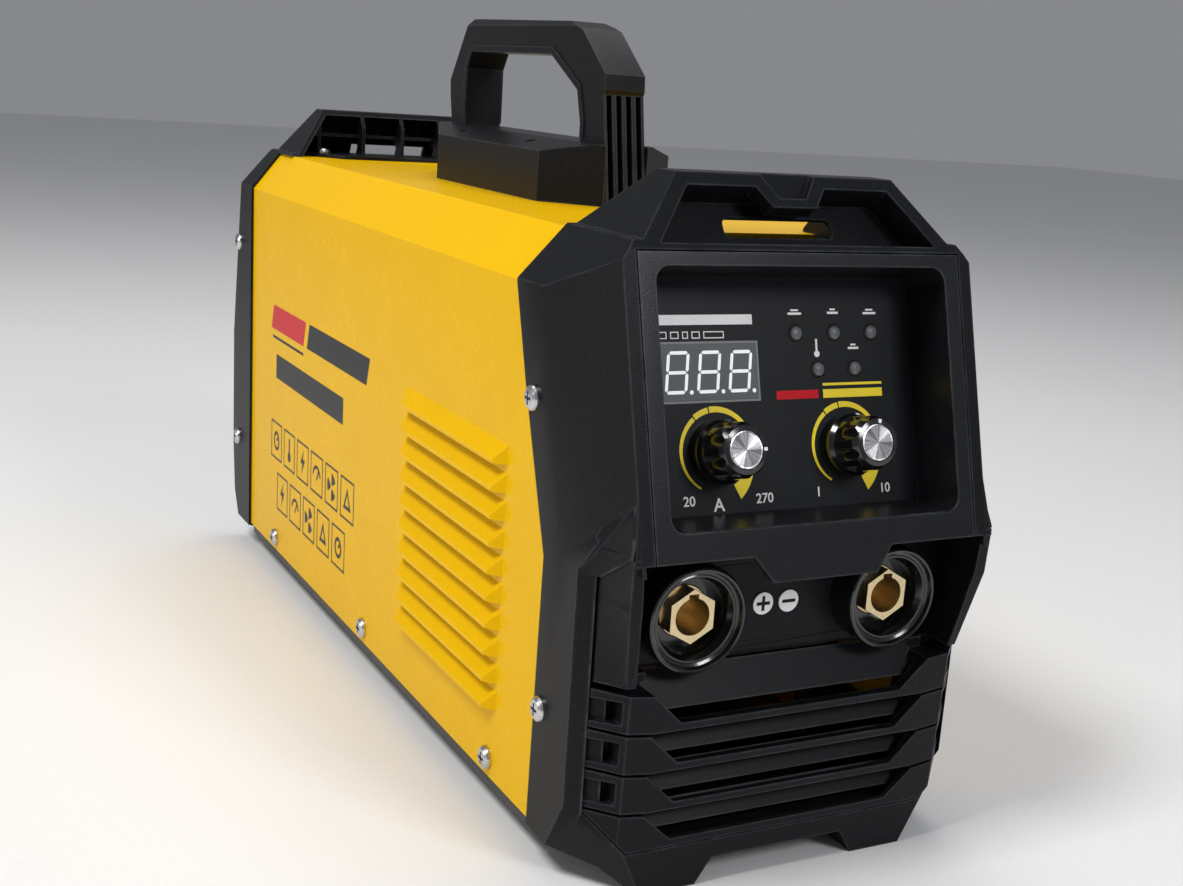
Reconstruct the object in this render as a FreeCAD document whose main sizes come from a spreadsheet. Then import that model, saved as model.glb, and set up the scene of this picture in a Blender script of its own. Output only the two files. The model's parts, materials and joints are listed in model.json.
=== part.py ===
import FreeCAD, Part
import math
import os
import Sketcher
from FreeCAD import Vector, Rotation, Placement

# Stick welding inverter: sheet-steel tray and cover between two moulded end
# frames, a carrying handle on top, controls and two output sockets in front,
# fan, switch and cable gland at the back.
# Frame: +X to the right seen from the front, +Y to the back, +Z up, origin on
# the ground at the middle of the length. Lengths in the sheet are millimetres.

doc = FreeCAD.newDocument("StickInverter")
sheet = doc.addObject("Spreadsheet::Sheet", "Sizes")

VALUES = [
    ("back_offset", 236.5, "front apex to origin along Y"),
    ("cover_half", 78.3, "half width over the cover"),
    ("cover_low", 13.1, "lower edge of the cover"),
    ("cover_shoulder", 199.4, "start of the cover's corner bevel"),
    ("cover_top_half", 63.5, "half width of the flat top"),
    ("cover_top", 218.2, "height of the flat top"),
    ("cover_sheet", 1.2, "cover sheet thickness"),
    ("cover_back", 435.4, "rear edge of the visible cover"),
    ("tray_half", 77.0, "half width over the tray"),
    ("tray_sheet", 1.5, "tray sheet thickness"),
    ("tray_low", 8.0, "underside of the tray"),
    ("tray_wall_top", 34.0, "top of the tray side walls"),
    ("frame_half", 79.8, "half width over the end frames"),
    ("frame_low", 12.0, "lower corner of the frame side"),
    ("frame_shoulder", 200.5, "start of the frame corner bevel"),
    ("frame_top_half", 64.2, "half width at the frame top"),
    ("frame_top", 219.7, "top of the frame flange"),
    ("hood_low_half", 60.7, "half width at the hood foot"),
    ("hood_top_half", 43.2, "half width at the hood ridge"),
    ("hood_top", 240.4, "hood ridge height"),
    ("rear_hood_top", 242.5, "rear hood ridge height"),
    ("wall", 2.8, "moulded wall thickness"),
    ("foot_inner", 33.0, "inner edge of the foot sole"),
    ("foot_outer", 56.0, "outer edge of the foot sole"),
    ("bezel_half", 63.7, "half width over the control bezel"),
    ("recess_half", 57.5, "half width of the control recess"),
    ("recess_low", 4.6, "lower edge of the recess up the slope"),
    ("recess_high", 89.4, "upper edge of the recess up the slope"),
    ("recess_depth", 22.5, "depth of the control recess"),
    ("knob_left", -25.6, "current knob axis"),
    ("knob_right", 27.5, "force knob axis"),
    ("knob_up", 30.0, "knob axes up the slope"),
    ("knob_skirt_r", 11.0, "knob skirt radius"),
    ("knob_body_r", 9.4, "knob body radius"),
    ("pot_shaft_r", 3.0, "potentiometer shaft radius"),
    ("bush_bore_r", 3.05, "bushing bore radius"),
    ("bush_r", 3.5, "bushing outside radius"),
    ("socket_x", 39.8, "output socket half spacing"),
    ("socket_z", 97.0, "output socket height"),
    ("socket_rim_r", 18.7, "output socket rim radius"),
    ("socket_bore_r", 6.5, "output socket bore radius"),
    ("socket_bore_len", 25.0, "output socket bore depth"),
    ("contact_flats", 16.5, "contact hexagon across flats"),
    ("fan_z", 84.0, "fan axis height"),
    ("fan_side", 120.0, "fan frame side"),
    ("fan_hole_r", 57.5, "fan bore radius"),
    ("fan_blade_r", 55.5, "fan blade tip radius"),
    ("gland_x", -34.0, "cable gland axis"),
    ("gland_z", 172.0, "cable gland height"),
    ("gland_bore_r", 5.5, "cable gland bore radius"),
    ("switch_x", 26.0, "power switch centre"),
    ("switch_z", 172.0, "power switch height"),
    ("handle_half", 9.0, "half width of the grip"),
    ("handle_block_half", 30.0, "half width of the handle block"),
    ("louvre_out", 4.2, "louvre projection"),
    ("louvre_pitch", 10.3, "louvre pitch"),
    ("screw_head_r", 4.5, "case screw head radius"),
    ("screw_shank_r", 1.7, "case screw shank radius"),
]
sheet.set("A1", "name")
sheet.set("B1", "value")
sheet.set("C1", "meaning")
for row, (word, number, meaning) in enumerate(VALUES, start=2):
    sheet.set("A%d" % row, word)
    sheet.set("B%d" % row, str(number))
    sheet.set("C%d" % row, meaning)
    sheet.setAlias("B%d" % row, word)
doc.recompute()


class Q:
    """A size: its number now, and the expression that keeps it tied to the sheet."""

    def __init__(self, value, text):
        self.v = float(value)
        self.t = text

    def __add__(self, o):
        o = q(o)
        return Q(self.v + o.v, "(%s + %s)" % (self.t, o.t))

    __radd__ = __add__

    def __sub__(self, o):
        o = q(o)
        return Q(self.v - o.v, "(%s - %s)" % (self.t, o.t))

    def __rsub__(self, o):
        return q(o) - self

    def __mul__(self, o):
        o = q(o)
        return Q(self.v * o.v, "(%s * %s)" % (self.t, o.t))

    __rmul__ = __mul__

    def __truediv__(self, o):
        o = q(o)
        return Q(self.v / o.v, "(%s / %s)" % (self.t, o.t))

    def __neg__(self):
        return Q(-self.v, "(0 - %s)" % self.t)


def q(x):
    if isinstance(x, Q):
        return x
    return Q(x, repr(round(float(x), 5)))


def val(x):
    return x.v if isinstance(x, Q) else float(x)


S = {word: Q(number, "Sizes." + word) for word, number, meaning in VALUES}

X = Vector(1, 0, 0)
Y = Vector(0, 1, 0)
Z = Vector(0, 0, 1)

# World positions are given with y measured back from the front apex.
WORLD = Placement(Vector(0, -S["back_offset"].v, 0), Rotation())

# The control face leans back 16.1 degrees. Its own frame: first axis X, second
# axis up the slope, third axis out of the face; origin on the face's lower part.
UP = Vector(0, 0.27709, 0.96084)
OUT = Vector(0, -0.96084, 0.27709)
FACE = Placement(Vector(0, 3.13 - S["back_offset"].v, 126.11), Rotation(X, UP, OUT, "XYZ"))

NODES = []
count = [0]


def uid(stem):
    count[0] += 1
    return "%s_%03d" % (stem, count[0])


def bind(obj, prop, x):
    """Set a property and tie it to the sheet."""
    if isinstance(x, Q):
        obj.setExpression(prop, x.t)
        setattr(obj, prop, x.v)
    else:
        setattr(obj, prop, float(x))


def draw(sk, pts):
    """A closed polygon in a sketch, every corner dimensioned from the origin."""
    n = len(pts)
    first = sk.GeometryCount
    for i in range(n):
        a = pts[i]
        b = pts[(i + 1) % n]
        sk.addGeometry(Part.LineSegment(Vector(val(a[0]), val(a[1]), 0), Vector(val(b[0]), val(b[1]), 0)), False)
    cons = []
    for i in range(n):
        cons.append(Sketcher.Constraint("Coincident", first + i, 2, first + (i + 1) % n, 1))
    sk.addConstraint(cons)
    for i in range(n):
        for kind, c in (("DistanceX", pts[i][0]), ("DistanceY", pts[i][1])):
            if abs(val(c)) < 1e-9:
                sk.addConstraint(Sketcher.Constraint("PointOnObject", first + i, 1, -2 if kind == "DistanceX" else -1))
            else:
                k = sk.addConstraint(Sketcher.Constraint(kind, -1, 1, first + i, 1, val(c)))
                if isinstance(c, Q):
                    sk.setExpression("Constraints[%d]" % k, c.t)


def ring(sk, cx, cy, r):
    """A circle in a sketch with its centre and radius dimensioned."""
    g = sk.addGeometry(Part.Circle(Vector(val(cx), val(cy), 0), Vector(0, 0, 1), val(r)), False)
    k = sk.addConstraint(Sketcher.Constraint("Radius", g, val(r)))
    if isinstance(r, Q):
        sk.setExpression("Constraints[%d]" % k, r.t)
    for kind, c in (("DistanceX", cx), ("DistanceY", cy)):
        if abs(val(c)) < 1e-9:
            sk.addConstraint(Sketcher.Constraint("PointOnObject", g, 3, -2 if kind == "DistanceX" else -1))
        else:
            k = sk.addConstraint(Sketcher.Constraint(kind, -1, 1, g, 3, val(c)))
            if isinstance(c, Q):
                sk.setExpression("Constraints[%d]" % k, c.t)


AXES = {"XY": (X, Y), "XZ": (X, Z), "YZ": (Y, Z)}


def flat(fr, plane, at):
    """Placement of a drawing plane in a frame; at = distance along the missing axis."""
    a, b = AXES[plane]
    missing = {"XY": Z, "XZ": Y, "YZ": X}[plane]
    return fr * Placement(missing * val(at), Rotation(a, b, a.cross(b), "XYZ"))


def prism(fr, plane, pts, start, end, shear=0.0, holes=()):
    """A polygon drawn in a plane and swept from start to end along the missing
    axis; shear = sideways travel in Y per unit of Z (XY plane only)."""
    sk = doc.addObject("Sketcher::SketchObject", uid("Outline"))
    sk.Placement = flat(fr, plane, start)
    draw(sk, pts)
    for cx, cy, r in holes:
        ring(sk, cx, cy, r)
    missing = {"XY": Z, "XZ": Y, "YZ": X}[plane]
    span = val(end) - val(start)
    d = missing * span
    if shear:
        d = d + Y * (span * val(shear))
    d = fr.Rotation.multVec(d)
    ex = doc.addObject("Part::Extrusion", uid("Sweep"))
    ex.Base = sk
    ex.DirMode = "Custom"
    ex.Solid = True
    length = d.Length
    ex.Dir = d / length
    ex.LengthFwd = length
    if (isinstance(start, Q) or isinstance(end, Q)) and not shear:
        ex.setExpression("LengthFwd", "abs(%s)" % (q(end) - q(start)).t)
    return ex


def loft(fr, plane, sections, ruled=True):
    """Solid through polygons; sections = [(position, points), ...]."""
    sks = []
    for at, pts in sections:
        sk = doc.addObject("Sketcher::SketchObject", uid("Section"))
        sk.Placement = flat(fr, plane, at)
        draw(sk, pts)
        sks.append(sk)
    lo = doc.addObject("Part::Loft", uid("Loft"))
    lo.Sections = sks
    lo.Solid = True
    lo.Ruled = ruled
    return lo


def lathe(fr, origin, axis, perp, pts, angle=360.0):
    """Turned solid; pts = (radius, position along the axis)."""
    sk = doc.addObject("Sketcher::SketchObject", uid("Profile"))
    a = Vector(*axis)
    p = Vector(*perp)
    o = Vector(*[val(c) for c in origin])
    sk.Placement = fr * Placement(o, Rotation(p, a, p.cross(a), "XYZ"))
    draw(sk, pts)
    rv = doc.addObject("Part::Revolution", uid("Turned"))
    rv.Source = sk
    rv.Axis = fr.Rotation.multVec(a)
    rv.Base = fr.multVec(o)
    rv.Angle = angle
    rv.Solid = True
    return rv


def rod(fr, origin, axis, r, start, end):
    """Cylinder about an axis through origin, from start to end along it."""
    a = Vector(*axis)
    o = Vector(*[val(c) for c in origin])
    c = doc.addObject("Part::Cylinder", uid("Rod"))
    bind(c, "Radius", r)
    bind(c, "Height", q(end) - q(start) if (isinstance(start, Q) or isinstance(end, Q)) else val(end) - val(start))
    c.Placement = fr * Placement(o + a * val(start), Rotation(Z, a))
    return c


def box(fr, lo, hi):
    """Block between two corners; sizes bound to the sheet where they come from it."""
    b = doc.addObject("Part::Box", uid("Block"))
    for prop, i in (("Length", 0), ("Width", 1), ("Height", 2)):
        if isinstance(lo[i], Q) or isinstance(hi[i], Q):
            bind(b, prop, q(hi[i]) - q(lo[i]))
        else:
            bind(b, prop, hi[i] - lo[i])
    b.Placement = fr * Placement(Vector(*[val(c) for c in lo]), Rotation())
    return b


def rounded(fr, lo, hi, r, axis=2):
    """Block with its four edges along one axis rounded."""
    b = box(fr, lo, hi)
    doc.recompute([b])
    edges = []
    d = fr.Rotation.multVec((X, Y, Z)[axis])
    for i, e in enumerate(b.Shape.Edges, start=1):
        t = e.tangentAt(e.FirstParameter)
        if abs(abs(t.dot(d)) - 1) < 1e-6:
            edges.append((i, r, r))
    f = doc.addObject("Part::Fillet", uid("Rounded"))
    f.Base = b
    f.Edges = edges
    return f


def hexagon(cx, cy, flats, turn=0.0):
    rr = val(flats) / math.sqrt(3)
    k = [(math.cos(math.radians(turn + 60 * i)), math.sin(math.radians(turn + 60 * i))) for i in range(6)]
    if isinstance(flats, Q):
        return [(flats * (c / math.sqrt(3)) + cx, flats * (s / math.sqrt(3)) + cy) if abs(c) > 1e-9 and abs(s) > 1e-9
                else (cx + rr * c, cy + rr * s) for c, s in k]
    return [(cx + rr * c, cy + rr * s) for c, s in k]


def fuse(*parts):
    if len(parts) == 1:
        return parts[0]
    f = doc.addObject("Part::MultiFuse", uid("Joined"))
    f.Shapes = list(parts)
    f.Refine = True
    return f


def group(*parts):
    g = doc.addObject("Part::Compound", uid("Group"))
    g.Links = list(parts)
    return g


def cut(base, *tools):
    t = tools[0] if len(tools) == 1 else group(*tools) if False else fuse(*tools)
    c = doc.addObject("Part::Cut", uid("Trimmed"))
    c.Base = base
    c.Tool = t
    c.Refine = True
    return c


def common(a, b):
    c = doc.addObject("Part::Common", uid("Shared"))
    c.Base = a
    c.Tool = b
    c.Refine = True
    return c


def mirror(a):
    m = doc.addObject("Part::Mirroring", uid("Mirrored"))
    m.Source = a
    m.Normal = X
    m.Base = Vector(0, 0, 0)
    return m


def node(name, obj):
    """Name a finished sub-part."""
    obj.Label = name
    NODES.append(obj)
    return obj


def body(name, fr):
    b = doc.addObject("PartDesign::Body", "Body_" + name)
    b.Label = name
    b.Placement = fr
    NODES.append(b)
    return b


def origin_plane(b, role):
    for f in b.Origin.OriginFeatures:
        if f.Role == role:
            return f


def body_sketch(b, role, at=0.0):
    sk = b.newObject("Sketcher::SketchObject", uid("Sketch"))
    sk.AttachmentSupport = [(origin_plane(b, role), "")]
    sk.MapMode = "FlatFace"
    sk.AttachmentOffset = Placement(Vector(0, 0, val(at)), Rotation())
    return sk


def pad(b, pts, start, length, holes=(), circles=()):
    """Add material on the body's XY plane, from start upwards by length."""
    sk = body_sketch(b, "XY_Plane", start)
    if pts:
        draw(sk, pts)
    for cx, cy, r in list(holes) + list(circles):
        ring(sk, cx, cy, r)
    p = b.newObject("PartDesign::Pad", uid("Pad"))
    p.Profile = sk
    bind(p, "Length", length)
    doc.recompute()
    return p


def pocket(b, pts, top, depth, circles=()):
    """Remove material from the plane at height top, downwards by depth."""
    sk = body_sketch(b, "XY_Plane", top)
    if pts:
        draw(sk, pts)
    for cx, cy, r in circles:
        ring(sk, cx, cy, r)
    doc.recompute()
    before = b.Shape.Volume
    p = b.newObject("PartDesign::Pocket", uid("Pocket"))
    p.Profile = sk
    bind(p, "Length", depth)
    doc.recompute()
    if b.Shape.Volume > before - 1e-6:
        raise RuntimeError("pocket removes nothing: " + p.Name)
    return p


def rect(x0, y0, x1, y1):
    return [(x0, y0), (x1, y0), (x1, y1), (x0, y1)]


def both(pts):
    """Right-hand outline points, bottom to top, closed by their mirror image."""
    return [(x, z) for x, z in pts] + [(-x if not isinstance(x, Q) else -x, z) for x, z in reversed(pts)]


# ---------------------------------------------------------------- case screws
def pan_screw(fr, at, axis, perp, head_r, shank_r, length, head=2.6, slot=True, recess_turn=0.0):
    """Pan head screw: domed head with a cross recess, plain shank. The head's
    underside is at the given point and the axis points out of the head."""
    o = [val(c) for c in at]
    hr = val(head_r)
    h = lathe(fr, at, axis, perp, [
        (0, -length), (shank_r, -length), (shank_r, 0), (head_r, 0), (head_r, head * 0.35),
        (head_r * 0.93, head * 0.66), (head_r * 0.74, head * 0.9), (head_r * 0.42, head), (0, head)])
    a = Vector(*axis)
    p = Vector(*perp)
    s = p.cross(a)
    tools = []
    for u, w in ((p, s), (s, p)):
        b = doc.addObject("Part::Box", uid("Cross"))
        b.Length = hr * 1.05
        b.Width = hr * 0.24
        b.Height = head
        low = Vector(*o) + a * (head * 0.38) - u * (hr * 0.525) - w * (hr * 0.12)
        if w.cross(a).dot(u) > 0:
            rot = Rotation(u, w, a, "XYZ")
            low = Vector(*o) + a * (head * 0.38) - u * (hr * 0.525) - w * (hr * 0.12)
            b.Placement = fr * Placement(low, rot)
        else:
            rot = Rotation(u, w * -1, a, "XYZ")
            low = Vector(*o) + a * (head * 0.38) - u * (hr * 0.525) + w * (hr * 0.12)
            b.Placement = fr * Placement(low, rot)
        tools.append(b)
    return cut(h, *tools)


# ------------------------------------------------------------------ base tray
# Folded tray: floor and two upturned walls that run on inside the end frames.
ti = S["tray_half"] - S["tray_sheet"]
tray = prism(WORLD, "XZ", [
    (-S["tray_half"], S["tray_low"]), (S["tray_half"], S["tray_low"]), (S["tray_half"], S["tray_wall_top"]),
    (ti, S["tray_wall_top"]), (ti, S["tray_low"] + S["tray_sheet"]), (-ti, S["tray_low"] + S["tray_sheet"]),
    (-ti, S["tray_wall_top"]), (-S["tray_half"], S["tray_wall_top"])], 53.2, 434.8)
walls = [box(WORLD, (ti, 44, 13.6), (S["tray_half"], 443, S["tray_wall_top"])),
         box(WORLD, (-S["tray_half"], 44, 13.6), (-ti, 443, S["tray_wall_top"]))]
SIDE_SCREWS = [(92.4, 20.0), (237.7, 20.0), (383.9, 20.0)]
holes = [rod(WORLD, (0, y, z), (1, 0, 0), 1.8, -80, 80) for y, z in SIDE_SCREWS]
STANDOFFS = [(-60, 90), (60, 90), (-60, 235), (60, 235), (-62, 396), (62, 396)]
holes += [rod(WORLD, (x, y, 0), (0, 0, 1), 1.6, 5, 12) for x, y in STANDOFFS]
node("base_tray", cut(fuse(tray, *walls), *holes))

# ------------------------------------------------------------------ top cover
# Folded cover with bevelled shoulders; its front and rear edges run under the
# end frames' flanges. Ten louvres are pressed out of each side.
ci = S["cover_half"] - S["cover_sheet"]
skin = prism(WORLD, "XZ", [
    (S["cover_half"], S["cover_low"]), (S["cover_half"], S["cover_shoulder"]), (S["cover_top_half"], S["cover_top"]),
    (-S["cover_top_half"], S["cover_top"]), (-S["cover_half"], S["cover_shoulder"]), (-S["cover_half"], S["cover_low"]),
    (-ci, S["cover_low"]), (-ci, S["cover_shoulder"] - 0.42), (-S["cover_top_half"] + 0.58, S["cover_top"] - S["cover_sheet"]),
    (S["cover_top_half"] - 0.58, S["cover_top"] - S["cover_sheet"]), (ci, S["cover_shoulder"] - 0.42), (ci, S["cover_low"])], 40, 460)
edge = prism(WORLD, "YZ", [
    (44.6, 10), (42.4, 111.4), (63.8, 166), (75.2, 199.4), (71.4, 218.0), (71.4, 225),
    (S["cover_back"] + 8, 225), (S["cover_back"] + 8, 10)], -90, 90)
cover = common(skin, edge)


def louvre(side, k):
    """Outer hood and inner hollow of one louvre; side is +1 or -1."""
    top = 141.3 - val(S["louvre_pitch"]) * k
    out = []
    for base, grow, low, high, half0, half1, tall0, tall1 in (
            (val(S["cover_half"]) - 0.2, val(S["louvre_out"]) + 0.2, top - 7.6, top, 52.0, 47.0, 7.6, 1.4),
            (val(ci) - 0.5, val(S["louvre_out"]) + 0.7, top - 7.7, top, 50.6, 46.0, 6.9, 0.6)):
        w = doc.addObject("Part::Wedge", uid("Louvre"))
        w.Xmin, w.Xmax = -half0, half0
        w.X2min, w.X2max = -half1, half1
        w.Ymin, w.Ymax = 0, grow
        w.Zmin, w.Zmax = 0, tall0
        w.Z2min, w.Z2max = 0, tall1
        rot = Rotation(Vector(0, -side, 0), Vector(side, 0, 0), Z, "XYZ")
        w.Placement = WORLD * Placement(Vector(side * base, 138.0, low), rot)
        out.append(w)
    return out


outer, inner = [], []
for side in (1, -1):
    for k in range(10):
        a, b = louvre(side, k)
        outer.append(a)
        inner.append(b)
cover = cut(fuse(cover, *outer), *inner)
FRONT_FLANGE = [(64.2, 162.7), (46.1, 58.3)]
holes = [rod(WORLD, (0, y, z), (1, 0, 0), 1.9, -85, 85) for y, z in SIDE_SCREWS]
holes += [rod(WORLD, (0, y, z), (1, 0, 0), 1.9, -85, 85) for y, z in FRONT_FLANGE]
TOP_SCREWS = [(-44.0, 427.0), (44.0, 427.0)]
holes += [rod(WORLD, (x, y, 0), (0, 0, 1), 1.9, 205, 225) for x, y in TOP_SCREWS]
HANDLE_BOLTS = [(0, 171.0), (0, 320.0), (-20, 210.0), (20, 210.0), (-20, 285.0), (20, 285.0)]
holes += [rod(WORLD, (x, y, 0), (0, 0, 1), 2.7, 205, 225) for x, y in HANDLE_BOLTS]
node("top_cover", cut(cover, *holes))

# ---------------------------------------------------------------- front shell
outline = both([(27, 9.5), (S["foot_inner"], 0), (S["foot_outer"], 0), (66, 8), (S["frame_half"], S["frame_low"]),
                (S["frame_half"], S["frame_shoulder"]), (S["frame_top_half"], S["frame_top"]),
                (S["hood_low_half"], S["frame_top"]), (S["hood_top_half"], S["hood_top"])])
side_view = [(13, 0), (11.5, 30), (9.5, 76), (0.79, 118.0), (29.3, 216.8), (44.6, S["hood_top"]), (57, S["hood_top"]),
             (79, S["frame_top"]), (79.4, 218.2), (83.2, 199.4), (71.8, 166), (50.4, 111.4), (52.6, 13.1), (52.8, 0)]
solid = common(prism(WORLD, "YZ", side_view, -85, 85), prism(WORLD, "XZ", outline, -5, 120))
upper = common(
    prism(WORLD, "XY", both([(69.0, -60), (69.0, -2.09), (80.2, 37.0), (80.2, 160)]), 108, 245, 0.28839),
    prism(WORLD, "XZ", both([(69.0, 117.8), (69.0, 141), (80.2, 114), (80.2, 245)]), -80, 170))
lower = common(
    prism(WORLD, "XY", both([(66, -20), (66, 14.5), (75.3, 22.5), (75.3, 19.6), (80.2, 25.0), (80.2, 160)]), -1, 141),
    prism(WORLD, "XZ", both([(80.2, -1), (80.2, 114), (69.0, 141)]), -30, 170))
shell = common(solid, fuse(upper, lower))

# slanting facet at each lower front corner, as a block standing on its plane
cn = Vector(0.731, -0.581, -0.359)
cn.normalize()
cu = Vector(0, 0.5256, -0.8507)
cu.normalize()


def corner_block(offset):
    block = doc.addObject("Part::Box", uid("Corner"))
    block.Length, block.Width, block.Height = 120, 120, 40
    block.Placement = (WORLD * Placement(Vector(79.8, 24.9, 31.5) + cn * offset, Rotation(cu, cn.cross(cu), cn, "ZXY"))
                       * Placement(Vector(-60, -60, 0), Rotation()))
    return block


# inside: room for the cover's edge, then the main hollow, then the hood's hollow
rebate = common(
    prism(WORLD, "YZ", [(42.6, 13.0), (40.4, 111.4), (61.8, 166), (73.2, 199.4), (69.4, 218.0), (69.4, 218.35), (150, 218.35), (150, 13.0)], -80, 80),
    prism(WORLD, "XZ", both([(78.4, 12.9), (78.4, 199.45), (63.6, 218.35)]), 0, 150))
room_high = common(
    prism(WORLD, "XY", both([(67.0, 4.57), (77.0, 38.6), (77.0, 160)]), 120, 216, 0.28839),
    prism(WORLD, "XZ", both([(77.0, 118), (77.0, 199.5), (64.9, 214.4)]), -20, 220))
# the hollow stops short of the slanting lower corner facet by a wall thickness
room_low = cut(box(WORLD, (-77.0, 24.9, 12.2), (77.0, 160, 121)), corner_block(-2.8), mirror(corner_block(-2.8)))
hood_room = common(
    prism(WORLD, "YZ", [(32.4, 216.8), (46.0, 237.8), (160, 237.8), (160, 216.8)], -70, 70),
    prism(WORLD, "XZ", both([(59.6, 216.8), (41.9, 237.8)]), 0, 160))
bezel_gap = box(FACE, (-(S["bezel_half"] + 0.4), -5.3, -45), (S["bezel_half"] + 0.4, 94.4, 6))
socket_gap = prism(WORLD, "XZ", both([(64.0, 77.9), (66.9, 107.4), (67.8, 121.4), (64.1, 123.4)]), -8, 40)
grille_gap = prism(WORLD, "XZ", both([(61.8, 16.6), (75.3, 31.4), (75.3, 78.0)]), -8, 40)
shell = cut(shell, rebate, room_high, room_low, hood_room, bezel_gap, socket_gap, grille_gap)

# pillars either side of the socket recess, and the raised brow above them
pillars = []
pr = loft(WORLD, "XY", [
    (78.0, [(64.0, 9.4), (67.4, 9.4), (74.3, 18.9), (74.3, 24.9), (64.0, 24.9)]),
    (107.0, [(66.9, 3.2), (71.4, 3.2), (74.4, 19.0), (74.4, 24.9), (66.9, 24.9)]),
    (123.4, [(67.8, 2.4), (71.6, 2.4), (74.5, 19.0), (74.5, 24.9), (67.8, 24.9)])])
brow = loft(WORLD, "XY", [
    (114.0, [(74.9, 17.6), (79.75, 24.9), (79.75, 42.0), (74.9, 42.0)]),
    (124.0, [(71.8, 2.6), (75.9, 17.6), (75.9, 42.0), (71.8, 42.0)]),
    (141.0, [(67.6, 7.5), (69.05, 7.5), (69.05, 42.0), (67.6, 42.0)])])
brow2 = loft(WORLD, "XY", [
    (121.4, [(64.1, 1.9), (71.4, 1.9), (71.4, 25.0), (64.1, 25.0)]),
    (141.0, [(64.1, 7.5), (69.05, 7.5), (69.05, 30.0), (64.1, 30.0)])])
for p in (pr, brow, brow2):
    pillars += [p, mirror(p)]

# strap pocket in the hood slope, with a slot through its floor, and the dip in
# the ridge above it
SLOPE = Placement(Vector(0, 29.3 - S["back_offset"].v, 216.8),
                  Rotation(X, Vector(0, 0.54391, 0.83915), Vector(0, -0.83915, 0.54391), "XYZ"))
pocket_in = [(54.6, 2.4), (40.0, 23.4)]
well = common(prism(SLOPE, "XY", both([(57.0, 0.4), (41.4, 26.0)]), -13.6, -0.4), solid)
yoke = common(prism(SLOPE, "XY", both([(8.8, 16.0), (17.2, 28.6)]), -6.2, 0), solid)
ribs = [common(box(WORLD, (x - 0.9, 33, 216.0), (x + 0.9, 84, 240.4)), solid) for x in (-33.0, 33.0)]
pad_front = common(box(WORLD, (-59.6, 32.2, 214.6), (59.6, 68, 216.9)), solid)
tube_gap = box(FACE, (-(S["recess_half"] + 2.6), S["recess_low"] - 2.6, -(S["recess_depth"] + 0.4)),
               (S["recess_half"] + 2.6, S["recess_high"] + 2.6, -1.0))
shell = fuse(shell, *pillars, well, pad_front, *ribs)
bosses = []
for y, z in FRONT_FLANGE:
    bosses.append((y, z))
shell = cut(shell,
            cut(prism(SLOPE, "XY", both(pocket_in), -12.0, 3), yoke),
            rounded(SLOPE, (-22.0, 10.8, -16), (22.0, 18.0, -10), 2.6),
            tube_gap, box(WORLD, (-59.0, 69.4, 210.0), (59.0, 160.0, 218.35)),
            *[rod(WORLD, (0, y, z), (1, 0, 0), 1.9, -85, 85) for y, z in FRONT_FLANGE])
shell = cut(fuse(shell, yoke), prism(SLOPE, "XY", both([(5.4, 16.9 + 2.6), (13.2, 32.0)]), -4.0, 6.0))
shell = cut(shell, corner_block(0), mirror(corner_block(0)))
node("front_shell", shell)

# -------------------------------------------------------------- control bezel
bez = prism(FACE, "XY", both([(20.8, -13.8), (27.6, -4.9), (S["bezel_half"], -4.9), (S["bezel_half"], 94.0)]), -2.6, 0)
tube = box(FACE, (-(S["recess_half"] + 2.2), S["recess_low"] - 2.2, -S["recess_depth"]),
           (S["recess_half"] + 2.2, S["recess_high"] + 2.2, -1.0))
opening = rounded(FACE, (-S["recess_half"], S["recess_low"], -40.0), (S["recess_half"], S["recess_high"], 5.0), 5.5)
doc.recompute()
sill = prism(FACE, "YZ", [(S["recess_low"] - 0.5, -0.2), (S["recess_low"] + 0.2, -0.2), (9.2, -S["recess_depth"]), (S["recess_low"] - 0.5, -S["recess_depth"])], -52.0, 52.0)
tab_back = box(FACE, (-20.0, -12.0, -8.0), (20.0, -4.0, -2.0))
node("control_bezel", fuse(cut(fuse(bez, tube), opening), sill, tab_back))

# ------------------------------------------------------------ control fascia
LEDS = [(9.0, 69.7), (25.1, 69.7), (41.0, 69.7), (17.4, 57.0), (33.1, 57.0)]
b = body("control_fascia", FACE)
pad(b, rect(-61.0, 2.9, 61.0, 91.4), -24.2, 1.6,
    holes=[(S["knob_left"], S["knob_up"], S["bush_r"] + 0.1), (S["knob_right"], S["knob_up"], S["bush_r"] + 0.1)]
    + [(x, v, 2.65) for x, v in LEDS])
pocket(b, rect(-45.8, 47.4, -7.6, 66.8), -22.6, 1.6)

b = body("display_module", FACE)
pad(b, rect(-45.6, 47.6, -7.8, 66.6), -31.8, 9.6)

leds = []
for x, v in LEDS:
    leds.append(lathe(FACE, (x, v, 0), (0, 0, 1), (1, 0, 0),
                      [(0, -30.5), (2.5, -30.5), (2.5, -22.3), (2.2, -21.7), (1.4, -21.35), (0, -21.2)]))
node("indicator_leds", group(*leds))

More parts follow.
